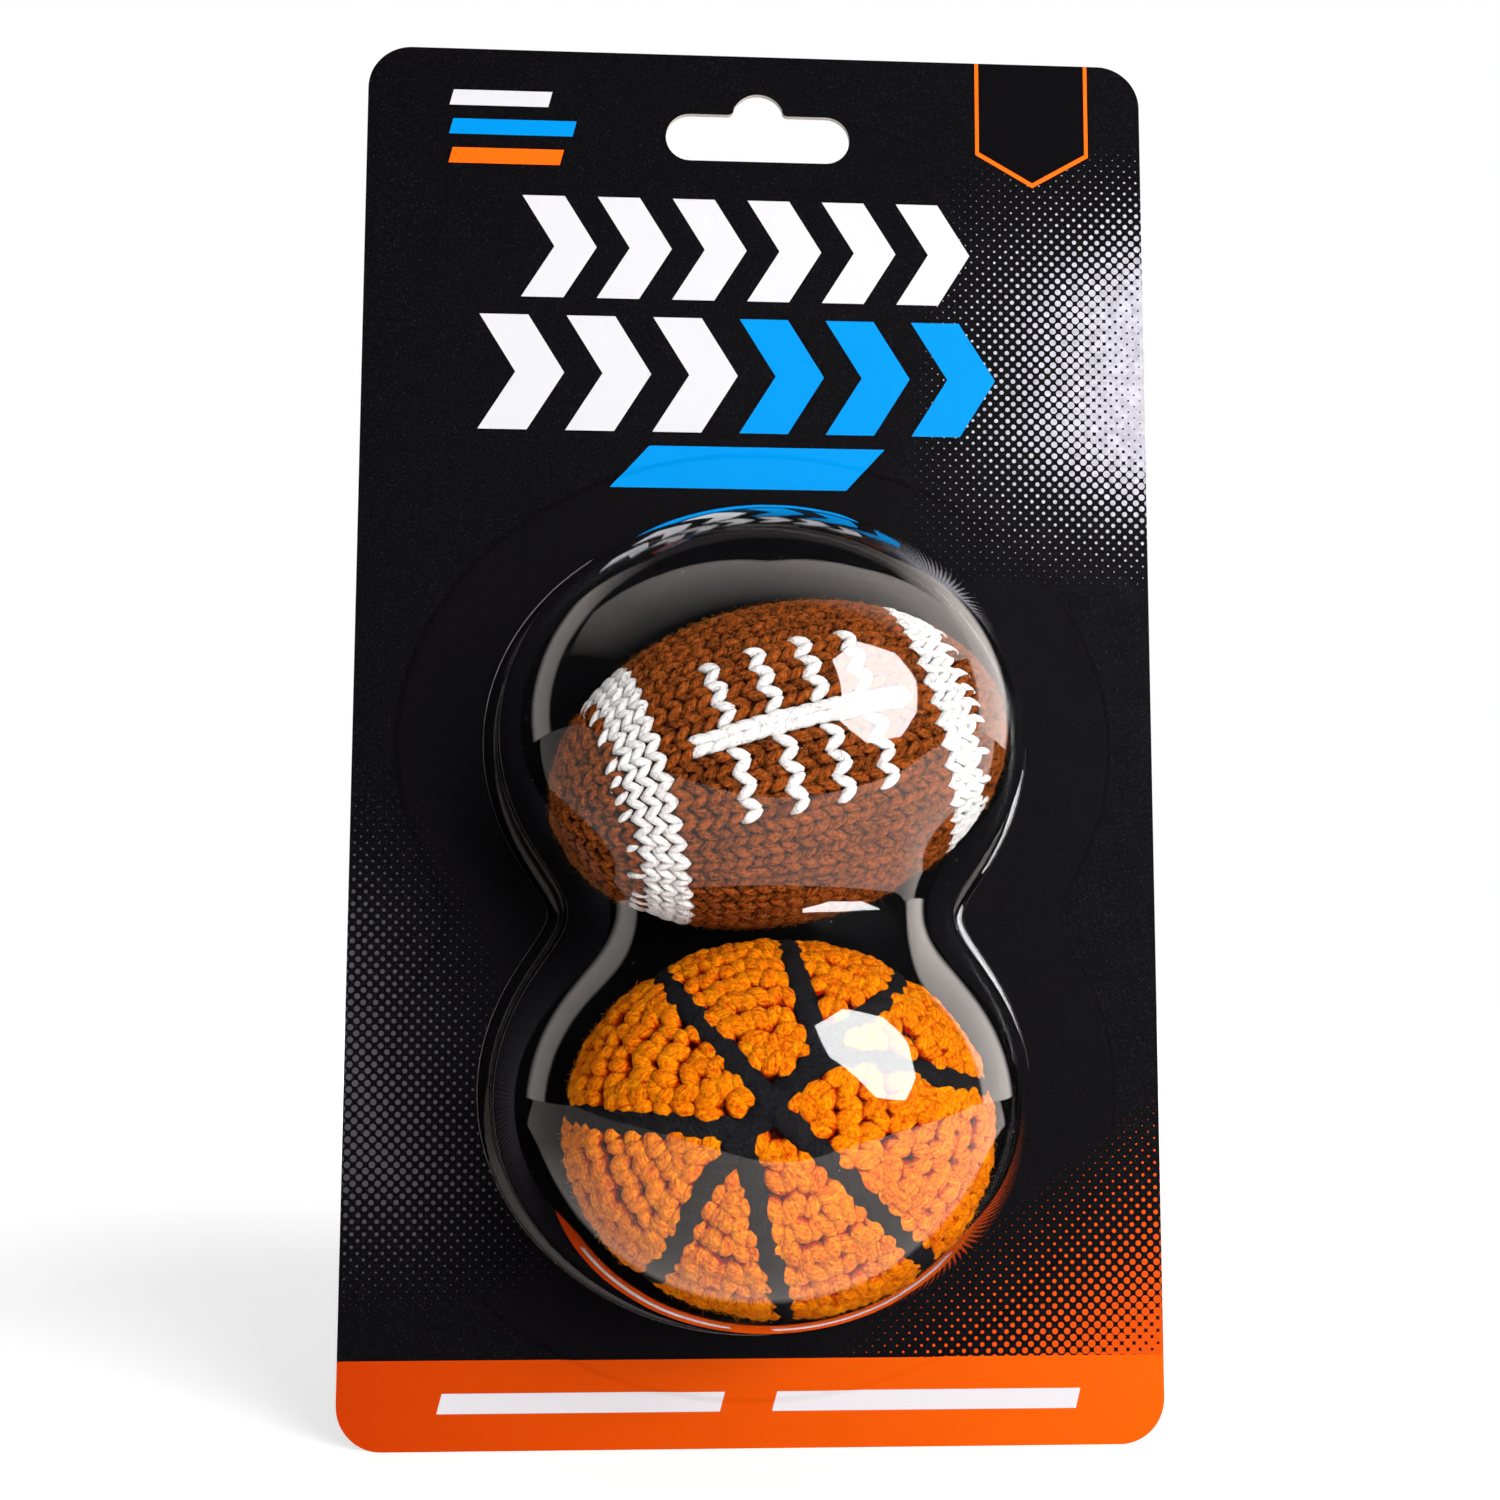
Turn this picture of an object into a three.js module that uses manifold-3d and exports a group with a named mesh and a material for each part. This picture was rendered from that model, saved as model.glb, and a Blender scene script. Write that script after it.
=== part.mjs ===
// Hanging retail pack of two crocheted footbags: a ball-shaped and a football-shaped bag
// under one clear double bubble, whose flange is trapped between two printed cards.
// Millimetres. +X is right, +Y goes into the wall behind the pack, +Z is up.
// The origin is where the display peg bears, at the top of the hang slot, on the plane where the cards meet.
import * as THREE from 'three';
import { mergeVertices } from 'three/addons/utils/BufferGeometryUtils.js';
import Module from 'manifold-3d';

const wasm = await Module();
wasm.setup();

// Cards
const CARD_W = 127;
const CARD_H = 222.25;
const CARD_CORNER_R = 7;
const FRONT_CARD_T = 0.5;
const BACK_CARD_T = 0.5;

// Hang slot, a wide slot with a round hump for a single peg
const SEAT_DROP = 6.5;
const SLOT_W = 30.2;
const SLOT_H = 7.9;
const HUMP_RISE = 3.6;
const HUMP_R = 4.4;
const HUMP_FILLET = 1.1;

// Clear bubble
const SHEET_T = 0.45;
const BUBBLE_FOOT_R = 1.8;
const FLANGE_SIDE = 14.4;
const FLANGE_END = 10.8;
const FLANGE_MARGIN = 8.2;
const WINDOW_PLAY = 0.4;
const POCKET_PLAY = 0.5;
const EMBOSS_RUN = 1.2;

// Room between a bag's outermost yarn and the bubble's greatest width, height and depth
const BALL_SIDE_ROOM = 9.74;
const BALL_END_ROOM = 7.7;
const BALL_FRONT_ROOM = 1.2;
const FOOTBALL_SIDE_ROOM = 5.3;
const FOOTBALL_END_ROOM = 9.8;
const FOOTBALL_FRONT_ROOM = 6.7;
const FOOTBALL_DROP = 5.67;

// Shape of the bubble: how sharply the two domes meet, there and on the flange, how square the shoulder is and
// how much the wall leans
const NECK_SHARPNESS = 8.5;
const FLANGE_NECK_SHARPNESS = 20;
const SHOULDER_POWER = 3.2;
const WALL_LEAN_SHARE = 0.09;

// Yarn and what the bags hold
const COVER_T = 2;
const LINER_T = 0.5;
const PLAY = 0.3;
const LOOSE = 0.8;
const FILL_SLACK = 5;
const KNOT_R = 2.2;
const KNOT_PROUD = 0.6;
const STRAND_T = 0.6;

// Ball-shaped bag, squashed a little along its height and depth
const BALL_HALF_W = 30.4;
const BALL_R = 26.2;
const BALL_SHIFT = 1.6;
const SEAM_W = 2.4;
const CROSSING_W = 4;
const JOIN_DISC_R = 3.6;
const DISC_END_SHARE = 0.25;

// Football-shaped bag
const FOOTBALL_HALF_L = 34.3;
const FOOTBALL_R = 23.2;
const FOOTBALL_SHIFT = 2.1;
const FOOTBALL_TILT = THREE.MathUtils.degToRad(15.2);
const FOOTBALL_YAW = THREE.MathUtils.degToRad(6);
const BAND_W = 6.2;
const BAND_PLACE = 22.5;
const LACE_ROLL = THREE.MathUtils.degToRad(9.5);
const LACE_BAR_L = 30.2;
const LACE_BAR_W = 3.2;
const LACE_COLUMN_W = 2;
const LACE_COLUMN_L = 11.2;
const LACE_PITCH = 6.6;
const LACE_ZIGZAG = 0.7;
const LACE_COLUMNS = 4;
const LACE_BENDS = 3;

// One overrun for every cut
const OVERRUN = 2;

// Faces: how many steps each round form has
const BUBBLE_SECTORS = 56;
const BUBBLE_RINGS = 13;
const COVER_SECTORS = 28;
const INNER_SECTORS = 20;
const CORNER_STEPS = 8;
const SEARCH_STEPS = 40;

// Where the bags' outermost yarn lies
const ballReachW = BALL_HALF_W + PLAY + STRAND_T;
const ballReachR = BALL_R + PLAY + STRAND_T;
const footballReachR = FOOTBALL_R + PLAY + STRAND_T;
const ballDepth = ballReachR + PLAY;
const footballReachDepth = Math.hypot(
  footballReachR * Math.cos(FOOTBALL_YAW),
  FOOTBALL_HALF_L * Math.sin(FOOTBALL_YAW),
);
const footballDepth = footballReachDepth + PLAY;
const footballReachL = Math.hypot(
  FOOTBALL_HALF_L * Math.cos(FOOTBALL_YAW),
  footballReachR * Math.sin(FOOTBALL_YAW),
);
const footballReachW = Math.hypot(
  footballReachL * Math.cos(FOOTBALL_TILT),
  footballReachR * Math.sin(FOOTBALL_TILT),
);
const footballReachH = Math.hypot(
  footballReachL * Math.sin(FOOTBALL_TILT),
  footballReachR * Math.cos(FOOTBALL_TILT),
);

// The bubble is sized from the bags that it has to clear
const bubbleHalfW = Math.max(
  ballReachW + BALL_SIDE_ROOM,
  footballReachW + FOOTBALL_SHIFT + FOOTBALL_SIDE_ROOM,
);
const bubbleHalfH = Math.max(ballReachR + BALL_END_ROOM, footballReachH + FOOTBALL_END_ROOM);
const bubbleDepth = SHEET_T + Math.max(
  ballDepth + ballReachR + BALL_FRONT_ROOM,
  footballDepth + footballReachDepth + FOOTBALL_FRONT_ROOM,
);
const flangeHalfW = bubbleHalfW + FLANGE_SIDE;
const flangeHalfH = bubbleHalfH + FLANGE_END;

// Halve an interval until it is far smaller than any facet; test says whether the answer lies further out.
function search(low, high, test) {
  for (let i = 0; i < SEARCH_STEPS; i++) {
    const middle = (low + high) / 2;
    if (test(middle)) low = middle;
    else high = middle;
  }
  return low;
}

// Height of the bubble's outside over the plane where the cards meet, from its share of the outline.
// The profile is a superellipse whose wall leans inwards as it rises.
function heightAt(share) {
  const profile = (v) => (1 - WALL_LEAN_SHARE * v) * (1 - v ** SHOULDER_POWER) ** (1 / SHOULDER_POWER);
  return bubbleDepth * search(0, 1, (v) => profile(v) > share);
}

// Height of one dome alone, up being measured from its centre.
const domeHeight = (x, up) => heightAt(Math.hypot(x / bubbleHalfW, up / bubbleHalfH));

// Outward normal of a wall given by its height over the cards.
function wallNormal(height, x, z) {
  const step = SHEET_T / 10;
  const dx = (height(x + step, z) - height(x - step, z)) / (2 * step);
  const dz = (height(x, z + step) - height(x, z - step)) / (2 * step);
  return new THREE.Vector3(-dx, -1, -dz).normalize();
}

// How far the ball sinks below the lower dome's centre until its outermost yarn is one play clear
// of the bubble's inner wall.
function ballSink() {
  const reach = PLAY + SHEET_T;
  const clear = (sink) => {
    for (let i = 1; i < 24; i++) {
      for (let k = 0; k < 24; k++) {
        const down = (i / 24) * Math.PI;
        const round = (k / 24) * Math.PI;
        const x = BALL_SHIFT + ballReachW * Math.cos(down);
        const y = -ballDepth - ballReachR * Math.sin(down) * Math.cos(round);
        const low = -sink - ballReachR * Math.sin(down) * Math.sin(round);
        const n = wallNormal(domeHeight, x, low - reach);
        if (-y - reach * n.y > domeHeight(x + reach * n.x, low + reach * n.z)) return false;
      }
    }
    return true;
  };
  return search(0, bubbleHalfH - ballReachR, clear);
}

// How far the tilted football's centre stays above the ball's when its outline is one play clear
// of the ball's, seen from the front.
function footballRise() {
  const clear = (rise) => {
    for (let i = 0; i < 180; i++) {
      const a = (i / 90) * Math.PI;
      const [u, v] = [footballReachL * Math.cos(a), footballReachR * Math.sin(a)];
      const x = FOOTBALL_SHIFT + u * Math.cos(FOOTBALL_TILT) - v * Math.sin(FOOTBALL_TILT);
      const up = rise + u * Math.sin(FOOTBALL_TILT) + v * Math.cos(FOOTBALL_TILT);
      const across = (x - BALL_SHIFT) / (ballReachW + PLAY);
      if (Math.hypot(across, up / (ballReachR + PLAY)) < 1) return false;
    }
    return true;
  };
  return search(2 * (ballReachR + footballReachL), 0, clear);
}

// Heights from the peg's seat. The ball lies on the lower dome's floor, the football on the ball,
// and the upper dome is centred a little above the football.
const cardTop = SEAT_DROP;
const cardBottom = cardTop - CARD_H;
const lowerDomeZ = cardBottom + FLANGE_MARGIN + flangeHalfH;
const ballZ = lowerDomeZ - ballSink();
const footballZ = ballZ + footballRise();
const upperDomeZ = footballZ + FOOTBALL_DROP;
const bubbleSpacing = upperDomeZ - lowerDomeZ;
const neckZ = (lowerDomeZ + upperDomeZ) / 2;

// Finishes
const finish = (color, roughness, extra = {}) => (
  new THREE.MeshStandardMaterial({ color, roughness, metalness: 0, ...extra })
);
const printedCard = () => finish(0x141318, 0.35);
const plainCard = () => finish(0x1b1a1e, 0.6);
const clearPlastic = () => finish(0xdfe6ea, 0.05, { transparent: true, opacity: 0.3 });
const brownYarn = () => finish(0x964b1e, 0.95);
const whiteYarn = () => finish(0xf0eeea, 0.95);
const orangeYarn = () => finish(0xf58214, 0.95);
const blackYarn = () => finish(0x131214, 0.95);
const liningCloth = () => finish(0xd9d2c4, 0.9);
const pellets = () => finish(0xe8e6df, 0.5);

// Weld a shape by position alone and drop the triangles that collapse at poles and seams.
function weld(geometry) {
  const bare = geometry.clone();
  bare.deleteAttribute('normal');
  bare.deleteAttribute('uv');
  const merged = mergeVertices(bare, SHEET_T / 1000);
  const index = merged.getIndex().array;
  const kept = [];
  for (let i = 0; i < index.length; i += 3) {
    const [a, b, c] = [index[i], index[i + 1], index[i + 2]];
    if (a !== b && b !== c && c !== a) kept.push(a, b, c);
  }
  merged.setIndex(kept);
  return faceOutwards(merged);
}

// A closed shape whose faces point inwards encloses a negative volume, so its triangles are turned.
function faceOutwards(geometry) {
  const p = geometry.getAttribute('position');
  const index = geometry.getIndex().array;
  const [a, b, c] = [new THREE.Vector3(), new THREE.Vector3(), new THREE.Vector3()];
  let volume = 0;
  for (let i = 0; i < index.length; i += 3) {
    a.fromBufferAttribute(p, index[i]);
    b.fromBufferAttribute(p, index[i + 1]);
    c.fromBufferAttribute(p, index[i + 2]);
    volume += a.dot(b.cross(c));
  }
  if (volume < 0) {
    const turned = Array.from(index);
    for (let i = 0; i < turned.length; i += 3) {
      [turned[i + 1], turned[i + 2]] = [turned[i + 2], turned[i + 1]];
    }
    geometry.setIndex(turned);
  }
  geometry.computeVertexNormals();
  return geometry;
}

function toSolid(geometry) {
  const welded = weld(geometry);
  const vertProperties = new Float32Array(welded.getAttribute('position').array);
  const triVerts = new Uint32Array(welded.getIndex().array);
  return new wasm.Manifold(new wasm.Mesh({ numProp: 3, vertProperties, triVerts }));
}

function fromSolid(solid) {
  const mesh = solid.getMesh();
  const geometry = new THREE.BufferGeometry();
  geometry.setAttribute('position', new THREE.BufferAttribute(new Float32Array(mesh.vertProperties), 3));
  geometry.setIndex(Array.from(mesh.triVerts));
  return faceOutwards(geometry);
}

function piece(name, geometry, material) {
  const mesh = new THREE.Mesh(geometry, material);
  mesh.name = name;
  return mesh;
}

// A geometry from a list of points and a list of point numbers, three to a triangle.
function fromTriangles(points, triangles) {
  const geometry = new THREE.BufferGeometry().setFromPoints(points);
  geometry.setIndex(triangles);
  return weld(geometry);
}

// The figure-eight field: 1 on the outline of two ellipses blended at the neck, less inside.
function eightField(x, z, halfW, halfH, sharpness = NECK_SHARPNESS) {
  const upper = Math.hypot(x / halfW, (z - upperDomeZ) / halfH);
  const lower = Math.hypot(x / halfW, (z - lowerDomeZ) / halfH);
  return -Math.log(Math.exp(-sharpness * upper) + Math.exp(-sharpness * lower)) / sharpness;
}

// Directions from the neck's centre, spaced evenly round a tall ellipse rather than by angle.
const eightDirections = Array.from({ length: BUBBLE_SECTORS }, (_, i) => {
  const turn = (i / BUBBLE_SECTORS) * 2 * Math.PI;
  const across = Math.cos(turn) * (bubbleHalfW - bubbleHalfH / 4);
  const up = Math.sin(turn) * (bubbleHalfH + bubbleSpacing / 2);
  return new THREE.Vector2(across, up).normalize();
});

function eightRadius(direction, halfW, halfH, sharpness = NECK_SHARPNESS) {
  const inside = (r) => eightField(direction.x * r, neckZ + direction.y * r, halfW, halfH, sharpness) < 1;
  return search(0, halfW + halfH + bubbleSpacing, inside);
}

const bubbleHeight = (x, z) => heightAt(eightField(x, z, bubbleHalfW, bubbleHalfH));

// The wall just above its foot, with the outward direction in the card's plane.
const footPoints = eightDirections.map((direction) => {
  const height = (r) => bubbleHeight(direction.x * r, neckZ + direction.y * r);
  const edge = eightRadius(direction, bubbleHalfW, bubbleHalfH);
  const r = search(0, edge, (q) => height(q) > SHEET_T + BUBBLE_FOOT_R);
  const at = new THREE.Vector2(direction.x * r, neckZ + direction.y * r);
  const step = SHEET_T / 10;
  const field = (x, z) => eightField(x, z, bubbleHalfW, bubbleHalfH);
  const outward = new THREE.Vector2(
    field(at.x + step, at.y) - field(at.x - step, at.y),
    field(at.x, at.y + step) - field(at.x, at.y - step),
  ).normalize();
  return { r, at, outward };
});

// The foot's outline moved outwards by a distance in the card's plane.
const footOutline = (offset) => footPoints.map(
  ({ at, outward }) => at.clone().addScaledVector(outward, offset),
);

// The flange's outline, which follows the bubble at a wider distance at the sides than at the ends.
const flangeOutline = (offset) => eightDirections.map((direction) => {
  const r = eightRadius(direction, flangeHalfW + offset, flangeHalfH + offset, FLANGE_NECK_SHARPNESS);
  return new THREE.Vector2(direction.x * r, neckZ + direction.y * r);
});

const liftOutline = (outline, y) => outline.map((p) => new THREE.Vector3(p.x, y, p.y));

// A closed skin between two stacks of rings that share their first point and their last ring's edge.
function skin(frontCentre, frontRings, backCentre, backRings) {
  const points = [];
  const triangles = [];
  const addSide = (centre, rings) => {
    const first = points.length;
    points.push(centre, ...rings.flat());
    const n = rings[0].length;
    for (let i = 0; i < n; i++) {
      const next = (i + 1) % n;
      triangles.push(first, first + 1 + i, first + 1 + next);
      for (let k = 0; k + 1 < rings.length; k++) {
        const a = first + 1 + k * n + i;
        const b = first + 1 + k * n + next;
        triangles.push(a, a + n, b + n, a, b + n, b);
      }
    }
    return first + 1 + (rings.length - 1) * n;
  };
  const frontEdge = addSide(frontCentre, frontRings);
  const frontCount = triangles.length;
  const backEdge = addSide(backCentre, backRings);
  for (let t = frontCount; t < triangles.length; t += 3) {
    [triangles[t + 1], triangles[t + 2]] = [triangles[t + 2], triangles[t + 1]];
  }
  const n = frontRings[0].length;
  for (let i = 0; i < n; i++) {
    const next = (i + 1) % n;
    triangles.push(frontEdge + i, backEdge + i, backEdge + next);
    triangles.push(frontEdge + i, backEdge + next, frontEdge + next);
  }
  return fromTriangles(points, triangles);
}

// A prism or frustum between two outlines that both surround the neck's centre.
function frustum(outlineA, yA, outlineB, yB) {
  const centre = (y) => new THREE.Vector3(0, y, neckZ);
  return skin(centre(yA), [liftOutline(outlineA, yA)], centre(yB), [liftOutline(outlineB, yB)]);
}

// The bubble: two blended domes, a rolled foot and the flat flange, one sheet of even thickness.
function makeBlister() {
  const front = [];
  const back = [];
  for (let k = 1; k < BUBBLE_RINGS; k++) {
    const share = Math.sin((k / BUBBLE_RINGS) * Math.PI / 2);
    const outer = eightDirections.map((direction, i) => {
      const r = footPoints[i].r * share;
      const [x, z] = [direction.x * r, neckZ + direction.y * r];
      return new THREE.Vector3(x, -bubbleHeight(x, z), z);
    });
    front.push(outer);
    back.push(outer.map((p) => p.clone().addScaledVector(wallNormal(bubbleHeight, p.x, p.z), -SHEET_T)));
  }
  const footY = -(SHEET_T + BUBBLE_FOOT_R);
  const halfway = Math.SQRT1_2;
  const bend = BUBBLE_FOOT_R + SHEET_T;
  front.push(liftOutline(footOutline(0), footY));
  front.push(liftOutline(footOutline(BUBBLE_FOOT_R * (1 - halfway)), footY + BUBBLE_FOOT_R * halfway));
  front.push(liftOutline(footOutline(BUBBLE_FOOT_R), -SHEET_T));
  front.push(liftOutline(flangeOutline(0), -SHEET_T));
  back.push(liftOutline(footOutline(-SHEET_T), footY));
  back.push(liftOutline(footOutline(BUBBLE_FOOT_R - bend * halfway), footY + bend * halfway));
  back.push(liftOutline(footOutline(BUBBLE_FOOT_R), 0));
  back.push(liftOutline(flangeOutline(0), 0));
  const roof = bubbleHeight(0, neckZ);
  const frontCentre = new THREE.Vector3(0, -roof, neckZ);
  const backCentre = new THREE.Vector3(0, SHEET_T - roof, neckZ);
  return piece('blister', skin(frontCentre, front, backCentre, back), clearPlastic());
}

// A card's rounded rectangle with its hang slot, thickness going from y = 0 towards -Y.
function cardBlank(thickness) {
  const [x, top, bottom, r] = [CARD_W / 2, cardTop, cardBottom, CARD_CORNER_R];
  const shape = new THREE.Shape();
  shape.moveTo(-x + r, bottom);
  shape.lineTo(x - r, bottom);
  shape.absarc(x - r, bottom + r, r, -Math.PI / 2, 0);
  shape.lineTo(x, top - r);
  shape.absarc(x - r, top - r, r, 0, Math.PI / 2);
  shape.lineTo(-x + r, top);
  shape.absarc(-x + r, top - r, r, Math.PI / 2, Math.PI);
  shape.lineTo(-x, bottom + r);
  shape.absarc(-x + r, bottom + r, r, Math.PI, Math.PI * 1.5);
  shape.holes.push(hangSlot());
  const extrusion = { depth: thickness, bevelEnabled: false, curveSegments: CORNER_STEPS };
  return new THREE.ExtrudeGeometry(shape, extrusion).rotateX(Math.PI / 2);
}

// The slot's outline: round ends, and a hump whose top is the peg's seat.
function hangSlot() {
  const slotTop = -HUMP_RISE;
  const endR = SLOT_H / 2;
  const endX = SLOT_W / 2 - endR;
  const endZ = slotTop - endR;
  const humpZ = -HUMP_R;
  const lift = slotTop + HUMP_FILLET - humpZ;
  const humpX = Math.sqrt(HUMP_R ** 2 - Math.max(lift, 0) ** 2);
  const humpAngle = Math.asin(lift / HUMP_R);
  const slot = new THREE.Path();
  slot.moveTo(endX, slotTop);
  slot.absarc(endX, endZ, endR, Math.PI / 2, -Math.PI / 2, true);
  slot.lineTo(-endX, endZ - endR);
  slot.absarc(-endX, endZ, endR, -Math.PI / 2, -Math.PI * 1.5, true);
  slot.lineTo(-humpX - HUMP_FILLET, slotTop);
  slot.quadraticCurveTo(-humpX, slotTop, -humpX, slotTop + HUMP_FILLET);
  slot.absarc(0, humpZ, HUMP_R, Math.PI - humpAngle, humpAngle, true);
  slot.quadraticCurveTo(humpX, slotTop, humpX + HUMP_FILLET, slotTop);
  return slot;
}

// The front card is pressed up over the flange, and the bubble stands out through its window.
function makeFrontCard() {
  const edge = POCKET_PLAY + EMBOSS_RUN;
  const faceY = -(SHEET_T + FRONT_CARD_T);
  const raised = frustum(flangeOutline(edge), -FRONT_CARD_T / 2, flangeOutline(POCKET_PLAY), faceY);
  const pocket = frustum(flangeOutline(edge), SHEET_T, flangeOutline(POCKET_PLAY - EMBOSS_RUN / 4), -SHEET_T);
  const window = footOutline(BUBBLE_FOOT_R + WINDOW_PLAY);
  const hole = frustum(window, OVERRUN, window, -OVERRUN);
  const pressed = toSolid(cardBlank(FRONT_CARD_T)).add(toSolid(raised));
  const solid = pressed.subtract(toSolid(pocket)).subtract(toSolid(hole));
  return piece('front_card', fromSolid(solid), printedCard());
}

function makeBackCard() {
  const blank = cardBlank(BACK_CARD_T).translate(0, BACK_CARD_T, 0);
  return piece('back_card', weld(blank), plainCard());
}

// Points on the meridian of an ellipsoid of revolution about X, from one place along the axis to another.
function meridian(halfL, radius, fromX, toX, steps) {
  const start = Math.acos(THREE.MathUtils.clamp(fromX / halfL, -1, 1));
  const end = Math.acos(THREE.MathUtils.clamp(toX / halfL, -1, 1));
  return Array.from({ length: steps + 1 }, (_, i) => {
    const t = start + ((end - start) * i) / steps;
    return new THREE.Vector2(radius * Math.sin(t), halfL * Math.cos(t));
  });
}

// Revolve a profile of (radius, place along the axis) about the X axis.
function revolve(profile, sectors) {
  return weld(new THREE.LatheGeometry(profile, sectors).rotateZ(-Math.PI / 2));
}

// The place along the axis where an ellipsoid of revolution has a given radius.
const axisPlace = (halfL, radius, r) => halfL * Math.sqrt(1 - (r / radius) ** 2);

// A bag's shell from one place along its axis to another: an outer arc, an inner arc and the closing edge.
function ringShell(halfL, radius, wall, fromX, toX, steps, sectors) {
  const outer = meridian(halfL, radius, fromX, toX, steps);
  const inner = meridian(halfL - wall, radius - wall, toX, fromX, steps);
  return revolve([...outer, ...inner, outer[0]], sectors);
}

// A shell that is closed at one pole and drawn up round a small hole at the other.
// side is 1 where the hole is at the +X pole and -1 where it is at the -X pole.
function pouch(halfL, radius, wall, holeR, side, farX, steps, sectors) {
  const outerHole = side * axisPlace(halfL, radius, holeR);
  const innerHole = side * axisPlace(halfL - wall, radius - wall, holeR);
  const outer = meridian(halfL, radius, farX, outerHole, steps);
  const open = Math.abs(farX) < halfL;
  const innerFarX = open ? farX : farX * (1 - wall / halfL);
  const inner = meridian(halfL - wall, radius - wall, innerHole, innerFarX, steps);
  const profile = [...outer, ...inner];
  if (open) profile.push(outer[0]);
  return revolve(profile, sectors);
}

// The yarn knot that closes a drawn-up hole: a stem through the cover and a low bead outside.
function closingKnot(halfL, radius, wall, side) {
  const holeR = KNOT_R + PLAY;
  const inside = axisPlace(halfL - wall, radius - wall, holeR);
  const outside = axisPlace(halfL, radius, holeR) + KNOT_PROUD;
  const bead = KNOT_R * Math.SQRT1_2;
  const profile = [
    new THREE.Vector2(0, side * inside),
    new THREE.Vector2(KNOT_R, side * inside),
    new THREE.Vector2(KNOT_R, side * outside),
    new THREE.Vector2(bead, side * (outside + KNOT_PROUD)),
    new THREE.Vector2(0, side * (outside + KNOT_PROUD + KNOT_PROUD / 2)),
  ];
  return revolve(profile, COVER_SECTORS / 2);
}

// A lining pouch that holds the filling, one wall inside the knitted cover.
function makeLiner(name, halfL, radius) {
  const inset = COVER_T + LOOSE;
  const shell = pouch(halfL - inset, radius - inset, LINER_T, KNOT_R / 2, 1, inset - halfL, 8, INNER_SECTORS);
  return piece(name, shell, liningCloth());
}

// The pellets lie level and leave slack at the top. level turns the bag's own frame to the upright one.
function makeFilling(name, halfL, radius, level) {
  const inset = COVER_T + LINER_T + 2 * LOOSE;
  const arc = meridian(halfL - inset, radius - inset, inset - halfL, halfL - inset, 10);
  const whole = revolve(arc, INNER_SECTORS);
  const lid = new THREE.BoxGeometry(2 * halfL, 2 * halfL, 2 * halfL);
  lid.translate(0, 0, radius - inset - FILL_SLACK + halfL);
  lid.applyMatrix4(level.clone().invert());
  return piece(name, fromSolid(toSolid(whole).subtract(toSolid(lid))), pellets());
}

// A flattened yarn strand laid on a surface.
// place(t) gives the point and its outward normal for t from 0 to 1.
function strand(place, steps, widthAt, sides) {
  const rows = Array.from({ length: steps + 1 }, (_, i) => place(i / steps));
  const points = [];
  const triangles = [];
  rows.forEach(({ at, normal }, i) => {
    const before = rows[Math.max(i - 1, 0)].at;
    const after = rows[Math.min(i + 1, steps)].at;
    const along = after.clone().sub(before).normalize();
    const across = new THREE.Vector3().crossVectors(along, normal).normalize();
    for (let k = 0; k < sides; k++) {
      const a = ((k + 0.5) / sides) * 2 * Math.PI;
      const lift = PLAY + (STRAND_T / 2) * (1 + Math.sin(a) / Math.cos(Math.PI / sides) ** 2);
      const aside = (widthAt(i / steps) / 2) * Math.cos(a);
      points.push(at.clone().addScaledVector(normal, lift).addScaledVector(across, aside));
    }
  });
  for (let i = 0; i < steps; i++) {
    for (let k = 0; k < sides; k++) {
      const [a, b] = [i * sides + k, i * sides + ((k + 1) % sides)];
      triangles.push(a, b, b + sides, a, b + sides, a + sides);
    }
  }
  for (let k = 1; k + 1 < sides; k++) {
    const last = steps * sides;
    triangles.push(0, k + 1, k, last, last + k, last + k + 1);
  }
  return fromTriangles(points, triangles);
}

// A point of the ball from a direction of the unit sphere.
function onBall(direction) {
  const s = direction.clone().normalize();
  const at = new THREE.Vector3(BALL_HALF_W * s.x, BALL_R * s.y, BALL_R * s.z);
  const normal = new THREE.Vector3(s.x / BALL_HALF_W, s.y / BALL_R, s.z / BALL_R).normalize();
  return { at, normal };
}

// Where the black lines meet on the ball's face, as shares of its half width and radius.
const joinShares = {
  lower: new THREE.Vector2(-0.203, 0.055),
  crossing: new THREE.Vector2(-0.101, 0.184),
  upper: new THREE.Vector2(0.118, 0.441),
};

// The eight black lines: where each starts and the direction in which it leaves the face, in degrees from +X.
const seamLines = [
  { join: 'crossing', leaves: 125 },
  { join: 'crossing', leaves: -46 },
  { join: 'lower', leaves: 175 },
  { join: 'lower', leaves: -128 },
  { join: 'lower', leaves: -89 },
  { join: 'upper', leaves: 88 },
  { join: 'upper', leaves: 55 },
  { join: 'upper', leaves: 14 },
];

// The way of a line from a join on the face, over the ball's edge, to the same join on the back.
// turn runs from 0 at the front pole to a half turn at the back pole.
function seamWay(join, leaves, turn) {
  const pull = Math.abs(Math.cos(turn)) ** 3;
  const { x, y } = joinShares[join];
  const a = THREE.MathUtils.degToRad(leaves);
  return onBall(new THREE.Vector3(
    Math.sin(turn) * Math.cos(a) + x * pull,
    -Math.cos(turn),
    Math.sin(turn) * Math.sin(a) + y * pull,
  ));
}

function makeSeamLine(number, { join, leaves }) {
  const atJoin = seamWay(join, leaves, 0).at;
  const clear = PLAY + (join === 'crossing' ? CROSSING_W / 2 : JOIN_DISC_R);
  const near = (turn) => seamWay(join, leaves, turn).at.distanceTo(atJoin) < clear;
  const start = search(0, Math.PI / 4, near);
  const place = (t) => seamWay(join, leaves, start + (Math.PI - 2 * start) * t);
  return piece(`seam_line_${number}`, strand(place, 14, () => SEAM_W, 6), blackYarn());
}

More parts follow.
